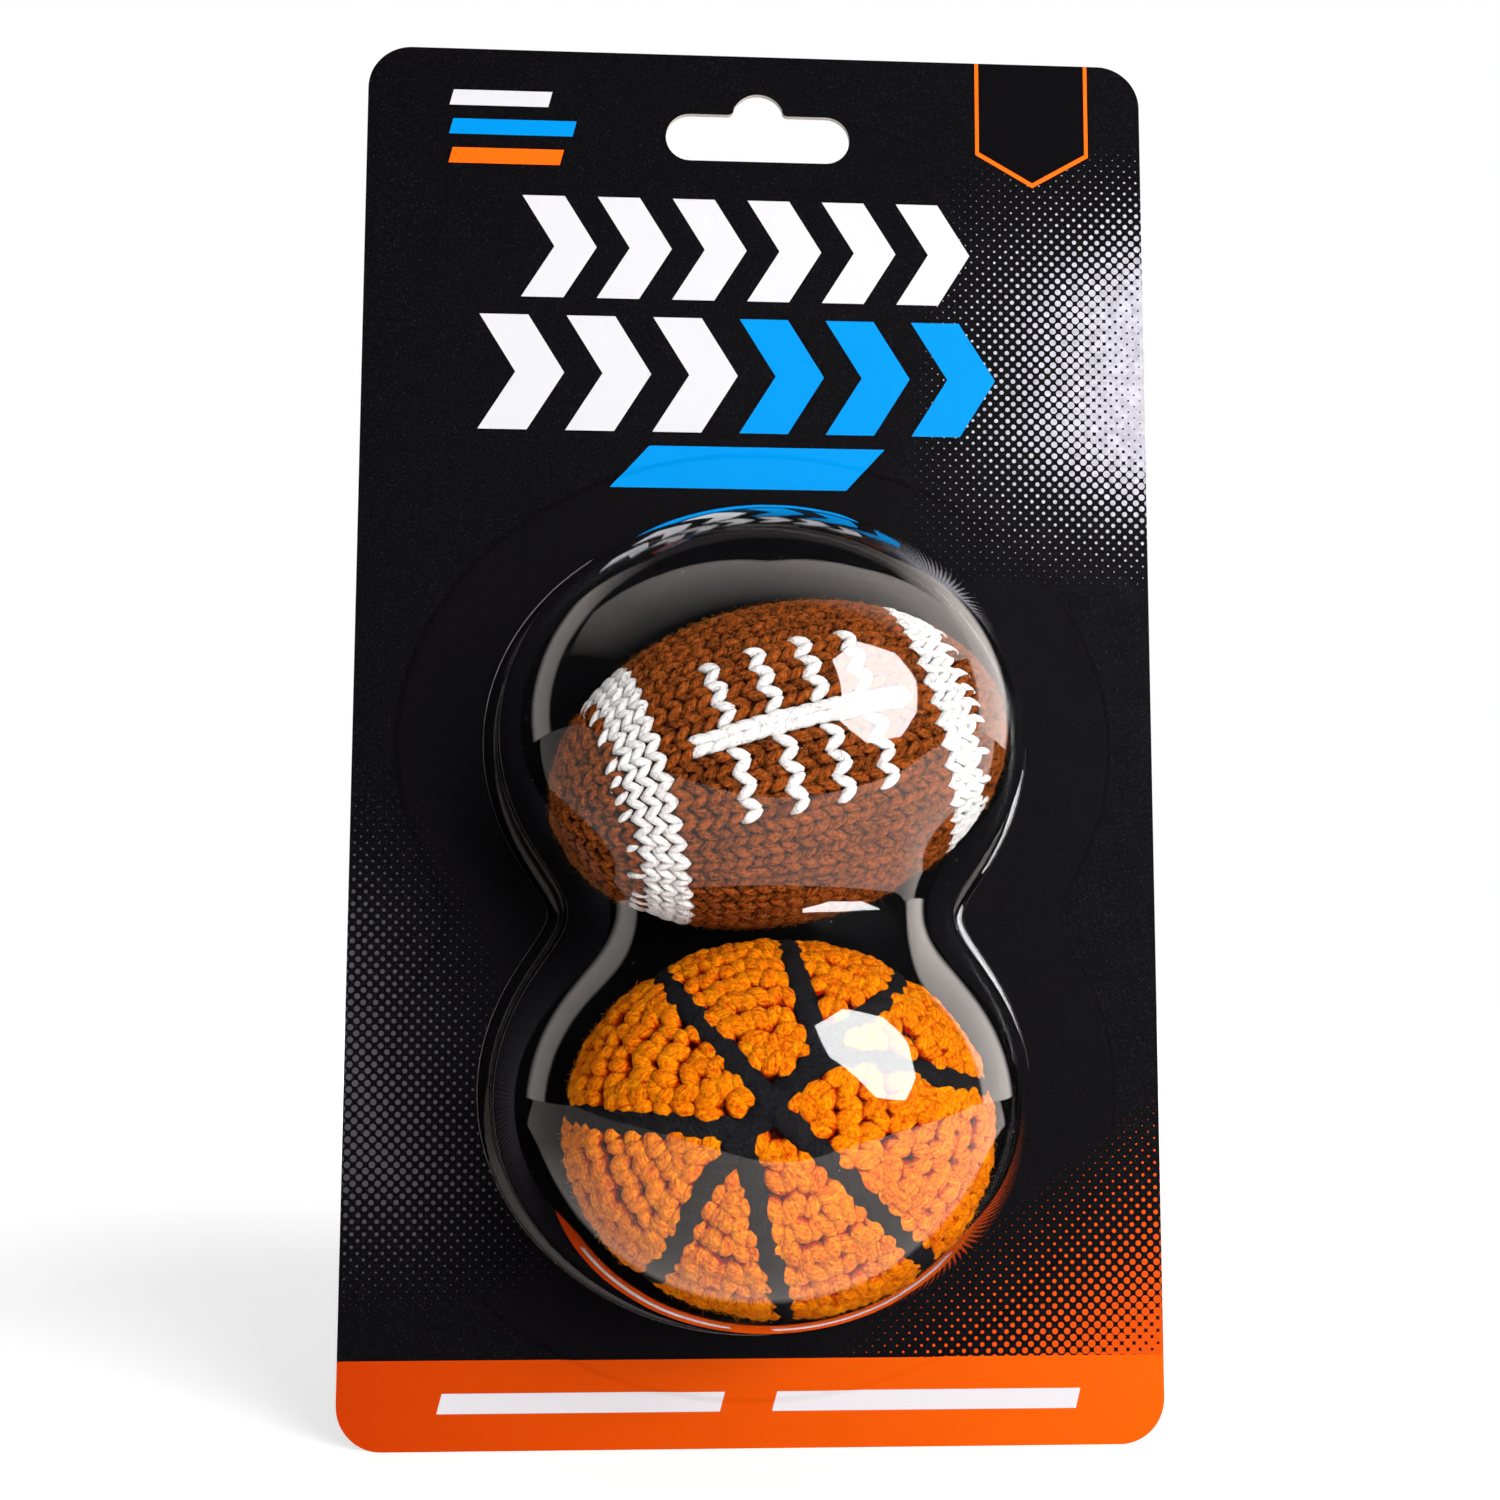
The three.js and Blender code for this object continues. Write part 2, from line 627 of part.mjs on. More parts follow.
// The thick stretch between the two joins, with a disc of crossed yarn round each.
// side is -1 on the face and 1 on the back.
function makeSeamCrossing(name, side) {
  const { lower, upper } = joinShares;
  const between = (s) => {
    const at = lower.clone().lerp(upper, s);
    return onBall(new THREE.Vector3(at.x, side, at.y));
  };
  const reach = JOIN_DISC_R / between(0).at.distanceTo(between(1).at);
  const place = (t) => between(-reach + (1 + 2 * reach) * t);
  const widthAt = (t) => {
    const past = (Math.abs(t - 0.5) * (1 + 2 * reach) - 0.5) / reach;
    const disc = 2 * JOIN_DISC_R * Math.sqrt(Math.max(1 - past ** 2, DISC_END_SHARE ** 2));
    return past > 0 ? disc : Math.max(disc, CROSSING_W);
  };
  return piece(name, strand(place, 16, widthAt, 6), blackYarn());
}

function makeBall() {
  const ball = new THREE.Group();
  const steps = 13;
  const hole = KNOT_R + PLAY;
  const cover = pouch(BALL_HALF_W, BALL_R, COVER_T, hole, 1, -BALL_HALF_W, steps, COVER_SECTORS);
  ball.add(piece('basketball_cover', cover, orangeYarn()));
  ball.add(piece('basketball_knot', closingKnot(BALL_HALF_W, BALL_R, COVER_T, 1), orangeYarn()));
  ball.add(makeLiner('basketball_liner', BALL_HALF_W, BALL_R));
  ball.add(makeFilling('basketball_filling', BALL_HALF_W, BALL_R, new THREE.Matrix4()));
  seamLines.forEach((line, i) => ball.add(makeSeamLine(i + 1, line)));
  ball.add(makeSeamCrossing('seam_front_crossing', -1));
  ball.add(makeSeamCrossing('seam_back_crossing', 1));
  return ball;
}

// A point of the football from its place along the axis and its turn about it; turn 0 faces the front.
function onFootball(x, turn) {
  const r = FOOTBALL_R * Math.sqrt(1 - (x / FOOTBALL_HALF_L) ** 2);
  const at = new THREE.Vector3(x, -r * Math.cos(turn), r * Math.sin(turn));
  const squares = new THREE.Vector3(FOOTBALL_HALF_L ** 2, FOOTBALL_R ** 2, FOOTBALL_R ** 2);
  return { at, normal: at.clone().divide(squares).normalize() };
}

function makeLaces() {
  const laces = new THREE.Group();
  const bar = (t) => onFootball((t - 0.5) * LACE_BAR_L, 0);
  laces.add(piece('lace_bar', strand(bar, 10, () => LACE_BAR_W, 6), whiteYarn()));
  const first = (LACE_BAR_W / 2 + 2 * PLAY) / FOOTBALL_R;
  const swing = LACE_COLUMN_L / FOOTBALL_R;
  for (const [row, way] of [['upper', 1], ['lower', -1]]) {
    for (let i = 0; i < LACE_COLUMNS; i++) {
      const x = (i - (LACE_COLUMNS - 1) / 2) * LACE_PITCH;
      const zigzag = (t) => LACE_ZIGZAG * (2 * Math.abs(2 * ((t * LACE_BENDS) % 1) - 1) - 1);
      const place = (t) => onFootball(x + zigzag(t), way * (first + swing * t));
      const column = strand(place, 2 * LACE_BENDS, () => LACE_COLUMN_W, 6);
      laces.add(piece(`lace_${row}_${i + 1}`, column, whiteYarn()));
    }
  }
  laces.rotation.x = -LACE_ROLL;
  return laces;
}

function makeFootball() {
  const football = new THREE.Group();
  football.rotation.set(0, -FOOTBALL_TILT, FOOTBALL_YAW);
  const hole = KNOT_R + PLAY;
  const inner = BAND_PLACE - BAND_W / 2;
  const outer = BAND_PLACE + BAND_W / 2;
  const half = PLAY / 2;
  const size = [FOOTBALL_HALF_L, FOOTBALL_R, COVER_T];
  const shell = (from, to, steps) => ringShell(...size, from, to, steps, COVER_SECTORS);
  const nose = (side) => pouch(...size, hole, side, side * (outer + half), 5, COVER_SECTORS);
  football.add(piece('football_nose_left', nose(-1), brownYarn()));
  football.add(piece('football_band_left', shell(-outer + half, -inner - half, 2), whiteYarn()));
  football.add(piece('football_middle', shell(-inner + half, inner - half, 8), brownYarn()));
  football.add(piece('football_band_right', shell(inner + half, outer - half, 2), whiteYarn()));
  football.add(piece('football_nose_right', nose(1), brownYarn()));
  football.add(piece('football_knot_left', closingKnot(...size, -1), brownYarn()));
  football.add(piece('football_knot_right', closingKnot(...size, 1), brownYarn()));
  football.add(makeLiner('football_liner', FOOTBALL_HALF_L, FOOTBALL_R));
  football.updateMatrix();
  football.add(makeFilling('football_filling', FOOTBALL_HALF_L, FOOTBALL_R, football.matrix));
  football.add(makeLaces());
  return football;
}

const pack = new THREE.Group();
pack.add(makeBackCard());
pack.add(makeFrontCard());
pack.add(makeBlister());

const ball = makeBall();
ball.position.set(BALL_SHIFT, -ballDepth, ballZ);
pack.add(ball);

const football = makeFootball();
football.position.set(FOOTBALL_SHIFT, -footballDepth, footballZ);
pack.add(football);

export default pack;
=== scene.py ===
"""Dresses the footbag pack: printed cards, clear double bubble, knitted football and crocheted ball."""

import math

import bmesh
import bpy
import numpy as np
from mathutils import Matrix, Vector
from mathutils.bvhtree import BVHTree
from mathutils.geometry import delaunay_2d_cdt


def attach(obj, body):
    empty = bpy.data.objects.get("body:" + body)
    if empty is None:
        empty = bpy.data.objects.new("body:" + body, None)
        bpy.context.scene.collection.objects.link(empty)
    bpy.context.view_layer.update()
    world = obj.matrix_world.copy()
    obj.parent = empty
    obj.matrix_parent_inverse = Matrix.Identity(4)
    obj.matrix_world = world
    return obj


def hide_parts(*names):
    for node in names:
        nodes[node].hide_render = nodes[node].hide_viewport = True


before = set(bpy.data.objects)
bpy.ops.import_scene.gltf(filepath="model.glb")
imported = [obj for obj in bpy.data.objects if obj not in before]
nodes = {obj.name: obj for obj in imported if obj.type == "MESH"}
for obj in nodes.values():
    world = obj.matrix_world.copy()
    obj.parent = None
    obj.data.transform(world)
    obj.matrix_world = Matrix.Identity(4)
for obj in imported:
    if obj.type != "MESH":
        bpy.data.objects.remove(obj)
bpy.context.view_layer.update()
scene = bpy.context.scene

MM = 0.001
rng = np.random.default_rng(7)

# Camera at the photograph's viewpoint: right, up and backward directions, then the place
camera = bpy.data.objects.new("camera", bpy.data.cameras.new("camera"))
camera.data.lens = 48
camera.data.sensor_width = 36
camera.data.clip_start = 0.01
camera.matrix_world = Matrix((
    (0.9982, -0.00922, -0.05918, -0.01979),
    (-0.05984, -0.11126, -0.99199, -0.31501),
    (0.00256, 0.99375, -0.11161, -0.143915),
    (0, 0, 0, 1),
))
scene.collection.objects.link(camera)
scene.camera = camera

# Cards, in millimetres from the peg's seat
CARD_W, CARD_H, CORNER_R, CARD_T = 127, 222.25, 7, 0.5
CARD_TOP = 6.5
CARD_BOTTOM = CARD_TOP - CARD_H
CARD_MIDDLE = CARD_TOP - CARD_H / 2
SLOT_W, SLOT_H, HUMP_RISE, HUMP_R, HUMP_FILLET = 30.2, 7.9, 3.6, 4.4, 1.1
POCKET_PLAY, EMBOSS_RUN, WINDOW_PLAY = 0.5, 1.2, 0.4

# Clear bubble
SHEET_T, FOOT_R = 0.45, 1.8
BUBBLE_HALF_W, BUBBLE_HALF_H, BUBBLE_DEPTH = 41.04, 34.8, 56.15
FLANGE_HALF_W, FLANGE_HALF_H = 55.44, 45.6
LOWER_DOME_Z, UPPER_DOME_Z = -161.95, -107.56
NECK_Z = (LOWER_DOME_Z + UPPER_DOME_Z) / 2
NECK_SHARPNESS, ROOF_NECK_SHARPNESS, FLANGE_NECK_SHARPNESS = 8.5, 3.4, 20
ROOF_NECK_TO, WALL_NECK_FROM = 16, 30
SHOULDER_POWER, WALL_LEAN = 3.2, 0.09
SECTORS, DOME_RINGS, FOOT_STEPS = 288, 84, 6

# Bags
BALL_AT = np.array([1.6, -27.4, -165.366])
BALL_HALF_W, BALL_R = 30.4, 26.2
BALL_SIZE = np.array([BALL_HALF_W, BALL_R, BALL_R])
FOOTBALL_AT = np.array([2.1, -24.535, -113.226])
FOOTBALL_HALF_L, FOOTBALL_R = 34.3, 23.2
FOOTBALL_TURN = np.array(
    (Matrix.Rotation(math.radians(-15.2), 3, "Y") @ Matrix.Rotation(math.radians(6), 3, "Z"))
)
LACE_ROLL = math.radians(9.5)
BAND_FROM, BAND_SOLID_TO, BAND_TO = 19.4, 24.6, 25.6
COURSE, WALES = 2.2, 39
ROUND_STEP, STITCH_STEP, LINE_CLEARANCE = 3.9, 3.7, 2.6
CLOTH_SCALE, CLOTH_FRAMES = 10, 20


def linear(red, green, blue):
    """A colour given in sRGB steps of 255, as Blender's linear RGBA."""
    share = [c / 255 for c in (red, green, blue)]
    return (*[c / 12.92 if c <= 0.04045 else ((c + 0.055) / 1.055) ** 2.4 for c in share], 1)


# Shaping helpers


def unit(v):
    return v / np.linalg.norm(v)


def units(rows):
    return rows / np.linalg.norm(rows, axis=-1, keepdims=True)


def leaned(way, towards, angle):
    """A direction turned by an angle towards another one that is square to it."""
    return way * math.cos(angle) + towards * math.sin(angle)


def smooth_share(t):
    t = np.clip(t, 0, 1)
    return t * t * (3 - 2 * t)


def show(name, mesh):
    piece = bpy.data.objects.new(name, mesh)
    scene.collection.objects.link(piece)
    return piece


def add_mesh(name, points_mm, faces):
    """A mesh object in the row frame from points in millimetres, its faces turned outwards."""
    mesh = bpy.data.meshes.new(name)
    mesh.from_pydata((np.asarray(points_mm) * MM).tolist(), [], [list(map(int, f)) for f in faces])
    mesh.validate()
    shape = bmesh.new()
    shape.from_mesh(mesh)
    bmesh.ops.recalc_face_normals(shape, faces=shape.faces)
    shape.to_mesh(mesh)
    shape.free()
    mesh.polygons.foreach_set("use_smooth", [True] * len(mesh.polygons))
    mesh.set_sharp_from_angle(angle=math.radians(50))
    return show(name, mesh)


def place(piece, body, material, slot, *replaced):
    """Gives a finished piece its material, body and the CAD nodes that it stands for; the record slot is not
    used.
    """
    if material:
        piece.data.materials.append(material)
    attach(piece, body)
    if replaced:
        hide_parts(*replaced)


def halve(low, high, further, steps=44):
    """Elementwise search between two arrays; further says where the answer lies beyond the middle."""
    for _ in range(steps):
        middle = (low + high) / 2
        beyond = further(middle)
        low = np.where(beyond, middle, low)
        high = np.where(beyond, high, middle)
    return low


# Bubble and card outlines


def eight_field(x, z, half_w, half_h, sharpness=NECK_SHARPNESS):
    upper = np.hypot(x / half_w, (z - UPPER_DOME_Z) / half_h)
    lower = np.hypot(x / half_w, (z - LOWER_DOME_Z) / half_h)
    return -np.log(np.exp(-sharpness * upper) + np.exp(-sharpness * lower)) / sharpness


def bubble_height(x, z):
    """Height of the sheet; the valley between the domes is rounder over the bags than at its ends."""
    share = smooth_share((np.abs(x) - ROOF_NECK_TO) / (WALL_NECK_FROM - ROOF_NECK_TO))
    sharpness = ROOF_NECK_SHARPNESS + (NECK_SHARPNESS - ROOF_NECK_SHARPNESS) * share
    rho = eight_field(x, z, BUBBLE_HALF_W, BUBBLE_HALF_H, sharpness)

    def inside(v):
        return (1 - WALL_LEAN * v) * (1 - v**SHOULDER_POWER) ** (1 / SHOULDER_POWER) > rho

    return BUBBLE_DEPTH * halve(np.zeros_like(rho), np.ones_like(rho), inside)


def bubble_normal(x, z):
    step = 0.03
    across = (bubble_height(x + step, z) - bubble_height(x - step, z)) / (2 * step)
    up = (bubble_height(x, z + step) - bubble_height(x, z - step)) / (2 * step)
    return units(np.stack([-across, -np.ones_like(across), -up], -1))


_turn = np.arange(SECTORS) / SECTORS * 2 * math.pi
_across = np.cos(_turn) * (BUBBLE_HALF_W - BUBBLE_HALF_H / 4)
_up = np.sin(_turn) * (BUBBLE_HALF_H + (UPPER_DOME_Z - LOWER_DOME_Z) / 2)
WAY = np.stack([_across, _up], -1) / np.hypot(_across, _up)[:, None]


def at_radius(radius):
    return WAY[:, 0] * radius, NECK_Z + WAY[:, 1] * radius


def eight_radius(half_w, half_h, sharpness=NECK_SHARPNESS):
    zero = np.zeros(SECTORS)
    return halve(zero, zero + 200, lambda r: eight_field(*at_radius(r), half_w, half_h, sharpness) < 1)


FOOT_RADIUS = halve(
    np.zeros(SECTORS),
    eight_radius(BUBBLE_HALF_W, BUBBLE_HALF_H),
    lambda r: bubble_height(*at_radius(r)) > SHEET_T + FOOT_R,
)
FOOT = np.stack(at_radius(FOOT_RADIUS), -1)
FOOT_OUTWARD = units(bubble_normal(FOOT[:, 0], FOOT[:, 1])[:, [0, 2]])


def foot_outline(offset):
    return FOOT + FOOT_OUTWARD * offset


def flange_outline(offset):
    radius = eight_radius(FLANGE_HALF_W + offset, FLANGE_HALF_H + offset, FLANGE_NECK_SHARPNESS)
    return np.stack(at_radius(radius), -1)


def lifted(outline, y):
    return np.stack([outline[:, 0], np.full(len(outline), y), outline[:, 1]], -1)


def make_bubble():
    """One formed sheet: domes, rolled foot and flange, the same thickness all over."""
    front, back = [], []
    for k in range(1, DOME_RINGS):
        x, z = at_radius(FOOT_RADIUS * math.sin(k / DOME_RINGS * math.pi / 2))
        outer = np.stack([x, -bubble_height(x, z), z], -1)
        front.append(outer)
        back.append(outer - bubble_normal(x, z) * SHEET_T)
    bend = FOOT_R + SHEET_T
    for angle in np.linspace(0, math.pi / 2, FOOT_STEPS + 1):
        out, rise = math.cos(angle), math.sin(angle)
        front.append(lifted(foot_outline(FOOT_R * (1 - out)), FOOT_R * rise - bend))
        back.append(lifted(foot_outline(FOOT_R - bend * out), bend * rise - bend))
    front.append(lifted(flange_outline(0), -SHEET_T))
    back.append(lifted(flange_outline(0), 0))
    roof = float(bubble_height(np.zeros(1), np.full(1, NECK_Z))[0])
    points, faces = [], []
    pairs = [(i, (i + 1) % SECTORS) for i in range(SECTORS)]

    def join(a, b):
        faces.extend((a + i, b + i, b + j, a + j) for i, j in pairs)

    for centre_y, stack in ((-roof, front), (SHEET_T - roof, back)):
        first = len(points) + 1
        points += [[0, centre_y, NECK_Z], *np.concatenate(stack).tolist()]
        faces += [(first - 1, first + i, first + j) for i, j in pairs]
        for ring in range(first, len(points) - SECTORS, SECTORS):
            join(ring, ring + SECTORS)
    half = len(points) // 2
    join(half - SECTORS, 2 * half - SECTORS)
    return add_mesh("clear_bubble", points, faces)


def arc(x, z, radius, start, end, steps):
    angles = np.linspace(math.radians(start), math.radians(end), steps + 1)
    return np.stack([x + radius * np.cos(angles), z + radius * np.sin(angles)], -1)


def card_outline():
    x, top, bottom, r = CARD_W / 2 - CORNER_R, CARD_TOP - CORNER_R, CARD_BOTTOM + CORNER_R, CORNER_R
    corners = ((x, bottom, -90), (x, top, 0), (-x, top, 90), (-x, bottom, 180))
    return np.concatenate([arc(cx, cz, r, start, start + 90, 16) for cx, cz, start in corners])


def slot_outline():
    top, end_r = -HUMP_RISE, SLOT_H / 2
    end_x = SLOT_W / 2 - end_r
    lift = top + HUMP_FILLET + HUMP_R
    hump_x = math.sqrt(HUMP_R**2 - max(lift, 0) ** 2)
    angle = math.degrees(math.asin(lift / HUMP_R))
    t = np.linspace(0, 1, 7)[1:-1, None]
    high, corner, low = np.array([(hump_x, top + HUMP_FILLET), (hump_x, top), (hump_x + HUMP_FILLET, top)])
    right = np.concatenate([(1 - t) ** 2 * high + 2 * t * (1 - t) * corner + t**2 * low, [low]])
    return np.concatenate([
        arc(end_x, top - end_r, end_r, 90, -90, 16),
        arc(-end_x, top - end_r, end_r, -90, -270, 16),
        right[::-1] * [-1, 1],
        arc(0, -HUMP_R, HUMP_R, 180 - angle, angle, 20),
        right,
    ])


def inside_loop(points, loop):
    x, z = points[:, 0, None], points[:, 1, None]
    ax, az = loop[:, 0], loop[:, 1]
    bx, bz = np.roll(ax, -1), np.roll(az, -1)
    crosses = ((az > z) != (bz > z)) & (x < (bx - ax) * (z - az) / (bz - az + 1e-12) + ax)
    return crosses.sum(1) % 2 == 1


def make_front_card():
    """The front card, pressed up over the flange with soft creases and cut out round the bubble."""
    loops = [(card_outline(), 0), (slot_outline(), 0), (foot_outline(FOOT_R + WINDOW_PLAY), SHEET_T)]
    for share in (-0.12, 0, 0.12, 0.25, 0.4, 0.55, 0.7, 0.85, 1, 1.12):
        rise = SHEET_T * (1 - smooth_share(share))
        loops.append((flange_outline(POCKET_PLAY + EMBOSS_RUN * share), rise))
    flat, lift, edges = [], [], []
    for loop, height in loops:
        first, n = len(flat), len(loop)
        flat.extend(Vector(p) for p in loop)
        lift.extend([height] * n)
        edges.extend((first + i, first + (i + 1) % n) for i in range(n))
    points, _, triangles, origins, _, _ = delaunay_2d_cdt(flat, edges, [], 1, 1e-5)
    plane = np.array([tuple(p) for p in points])
    heights = np.array([lift[o[0]] for o in origins])
    triangles = np.array(triangles)
    middles = plane[triangles].mean(1)
    keep = ~inside_loop(middles, loops[1][0]) & ~inside_loop(middles, loops[2][0])
    triangles = triangles[keep]
    n = len(plane)
    front = np.stack([plane[:, 0], -heights - CARD_T, plane[:, 1]], -1)
    sides = [way for a, b, c in triangles for way in ((a, b), (b, c), (c, a))]
    shared = {(v, u) for u, v in sides}
    faces = [tuple(t) for t in triangles] + [(a + n, c + n, b + n) for a, b, c in triangles]
    faces += [(u, v, v + n, u + n) for u, v in sides if (u, v) not in shared]
    return add_mesh("printed_front_card", np.concatenate([front, front + [0, CARD_T, 0]]), faces)


# Materials


class Wiring:
    """A node tree being wired: each method adds one node and returns its output."""

    def __init__(self, tree):
        self.tree = tree

    def feed(self, socket, value):
        if isinstance(value, bpy.types.NodeSocket):
            self.tree.links.new(value, socket)
        elif value is not None:
            socket.default_value = value

    def node(self, kind, inputs=None, **settings):
        """Adds one node and returns all of its outputs."""
        made = self.tree.nodes.new(kind)
        for key, value in settings.items():
            setattr(made, key, value)
        for key, value in (inputs or {}).items():
            self.feed(made.inputs[key], value)
        return made.outputs

    def add(self, kind, inputs=None, output=0, **settings):
        return self.node(kind, inputs, **settings)[output]

    def math(self, operation, *values, clamp=False):
        return self.add("ShaderNodeMath", dict(enumerate(values)), operation=operation, use_clamp=clamp)

    def times(self, first, *others):
        for other in others:
            first = self.math("MULTIPLY", first, other)
        return first

    def less(self, a, b):
        return self.math("SUBTRACT", a, b)

    def split(self, vector):
        return self.node("ShaderNodeSeparateXYZ", {0: vector})

    def sockets(self, way, **kinds):
        """Adds a group's inputs or outputs, named with _ for a space."""
        for name, kind in kinds.items():
            name = name.replace("_", " ")
            self.tree.interface.new_socket(name, in_out=way, socket_type=f"NodeSocket{kind}")


class Finish(Wiring):
    """A material, a world or a shader group being wired."""

    def surface(self, **values):
        """Sets or links inputs of the Principled BSDF, named with _ for a space."""
        for key, value in values.items():
            self.feed(self.tree.nodes["Principled BSDF"].inputs[key.replace("_", " ")], value)

    def bare(self):
        return self.tree.nodes["Principled BSDF"].outputs[0]

    def show(self, shader, output="ShaderNodeOutputMaterial"):
        """Makes a shader the whole material's, by its one output node."""
        node = next((n for n in self.tree.nodes if n.bl_idname == output), None)
        self.feed((node or self.tree.nodes.new(output)).inputs[0], shader)

    def own_place(self):
        """Object coordinates: in metres from the peg's seat, as no piece is moved at rest."""
        return self.add("ShaderNodeTexCoord", output=3)

    def mix(self, share, a, b):
        node = self.tree.nodes.new("ShaderNodeMix")
        node.data_type = "RGBA"
        for key, value in (("Factor_Float", share), ("A_Color", a), ("B_Color", b)):
            self.feed(next(s for s in node.inputs if s.identifier == key), value)
        return next(s for s in node.outputs if s.identifier == "Result_Color")

    def spread(self, value, low, high, to_low=0.0, to_high=1.0):
        inputs = {"Value": value, "From Min": low, "From Max": high, "To Min": to_low, "To Max": to_high}
        return self.add("ShaderNodeMapRange", inputs, clamp=True)

    def noise(self, vector, scale, detail=2.0, roughness=0.5):
        inputs = {"Vector": vector, "Scale": scale, "Detail": detail, "Roughness": roughness}
        return self.add("ShaderNodeTexNoise", inputs)

    def bump(self, height, distance, strength=1.0):
        return self.add("ShaderNodeBump", {"Height": height, "Distance": distance, "Strength": strength})


def new_finish(name, **constants):
    """A material with one Principled BSDF, and its wiring."""
    material = bpy.data.materials.new(name)
    material.use_nodes = True
    f = Finish(material.node_tree)
    f.surface(**constants)
    return material, f


def emptied(owner):
    """The wiring of a material or world without any nodes yet."""
    owner.use_nodes = True
    owner.node_tree.nodes.clear()
    return Finish(owner.node_tree)


def rays_and_bent(f):
    """The Light Path outputs, and 1 for a ray that the clear sheet mirrored or bent."""
    rays = f.node("ShaderNodeLightPath")
    return rays, f.math("MAXIMUM", rays["Is Glossy Ray"], rays["Is Transmission Ray"])


def board_edge(f):
    """1 on a card's cut edge, from the surface's direction on the piece."""
    normal_y = f.split(f.add("ShaderNodeTexCoord", output=1))[1]
    return f.math("LESS_THAN", f.math("ABSOLUTE", normal_y), 0.3)


def printed_card():
    """Black coated board with a generic sports print of chevrons, bars and halftone dots."""
    material, f = new_finish("printed card", Specular_IOR_Level=0.02)
    where = f.own_place()
    x, _, z = f.split(where)
    x = f.math("DIVIDE", x, MM)
    z = f.math("MULTIPLY_ADD", z, 1 / MM, -CARD_MIDDLE)

    def between(u, low, high):
        return f.math("COMPARE", u, (low + high) / 2, (high - low) / 2)

    def parallelogram(x0, x1, z0, z1, shear=0.25):
        slanted = f.less(x, f.times(f.less(z, (z0 + z1) / 2), shear))
        return f.times(between(slanted, x0, x1), between(z, z0, z1))

    def chevrons(x0, x1, z0, z1, pitch, share=0.56, slope=0.62):
        bend = f.times(f.math("ABSOLUTE", f.less(z, (z0 + z1) / 2)), slope)
        u = f.math("DIVIDE", f.less(f.math("ADD", x, bend), x0), pitch)
        inside = f.times(f.math("GREATER_THAN", u, 0), f.math("LESS_THAN", u, (x1 - x0) / pitch))
        return f.times(f.math("LESS_THAN", f.math("FRACT", u), share), inside, between(z, z0, z1))

    def dots(strength, pitch=1.9, largest=0.62):
        diagonal = f.add("ShaderNodeCombineXYZ", {0: f.math("ADD", x, z), 1: f.less(x, z)})
        grid = {"Vector": diagonal, "Scale": 1 / pitch, "Randomness": 0.0}
        cell = f.add("ShaderNodeTexVoronoi", grid, voronoi_dimensions="2D")
        return f.math("LESS_THAN", cell, f.times(strength, largest))

    def reach(x0, z0, dx, dz, length):
        """Falls from 1 at a place to 0 along a direction."""
        across, up = f.times(f.less(x, x0), dx / length), f.times(f.less(z, z0), dz / length)
        return f.math("SUBTRACT", 1.0, f.math("ADD", across, up), clamp=True)

    black = linear(7, 6, 8)
    white = linear(182, 181, 184)
    blue = linear(0, 118, 184)
    orange = f.mix(f.spread(x, -63, 63), linear(164, 47, 1), linear(192, 77, 2))

    def badge(half, point):
        offset = f.math("ABSOLUTE", f.less(x, 45.4))
        above = f.math("GREATER_THAN", f.less(z, f.times(offset, 0.58)), point)
        return f.times(f.math("LESS_THAN", offset, half), above)

    speckle = f.spread(f.noise(where, 5200.0, 1.0), 0.62, 0.8, 0.0, 0.35)
    grey = f.mix(f.noise(where, 900.0, 3.0), linear(110, 108, 116), linear(190, 188, 197))
    right_field = f.times(reach(63, 60, -1, 0.1, 38), f.spread(z, 22, 48), f.spread(z, 98, 70))
    left_field = f.times(reach(-63, -50, 1, 0.35, 30), f.spread(z, -92, -70), f.spread(z, -4, -30), 0.6)
    low_field = f.times(reach(63, -100, -0.75, 0.95, 42), f.spread(z, -30, -60))
    inks = (
        (speckle, linear(70, 66, 78)),
        (dots(right_field), grey),
        (dots(left_field), linear(62, 60, 66)),
        (dots(low_field), linear(180, 64, 6)),
        (chevrons(-33, 40, 69.5, 86.5, 12.2), white),
        (chevrons(-39, 3, 47.5, 66.5, 14.0), white),
        (chevrons(3, 45, 47.5, 66.5, 14.0), blue),
        (parallelogram(-20.5, 17.5, 38.2, 45.2, 0.9), blue),
        (parallelogram(-50, -34, 101.5, 104.1), white),
        (parallelogram(-50, -30, 96.6, 99.2), blue),
        (parallelogram(-50, -32, 91.7, 94.3), linear(232, 88, 10)),
        (badge(9.4, 89.9), linear(236, 92, 12)),
        (badge(8.8, 90.7), black),
        (f.math("LESS_THAN", z, -97.7), orange),
        (parallelogram(-48, -5, -105.6, -102.6), white),
        (parallelogram(3, 50, -105.6, -102.6), white),
        (board_edge(f), linear(196, 190, 182)),
    )
    colour = black
    for mask, ink in inks:
        colour = f.mix(mask, colour, ink)
    roughness = f.spread(f.noise(where, 260.0, 3.0), 0.3, 0.7, 0.42, 0.55)
    grain = f.bump(f.noise(where, 1500.0, 3.0), 0.00002, 0.5)
    f.surface(Base_Color=colour, Roughness=roughness, Normal=grain)
    return material


def plain_card():
    """The back of the pack: dark matt board with a lighter cut edge."""
    material, f = new_finish("plain card", Roughness=0.6, Specular_IOR_Level=0.02)
    where = f.own_place()
    colour = f.mix(f.noise(where, 700.0, 3.0), linear(4, 4, 5), linear(9, 8, 10))
    colour = f.mix(board_edge(f), colour, linear(190, 184, 176))
    f.surface(Base_Color=colour, Normal=f.bump(f.noise(where, 1500.0, 3.0), 0.00003, 0.7))
    return material


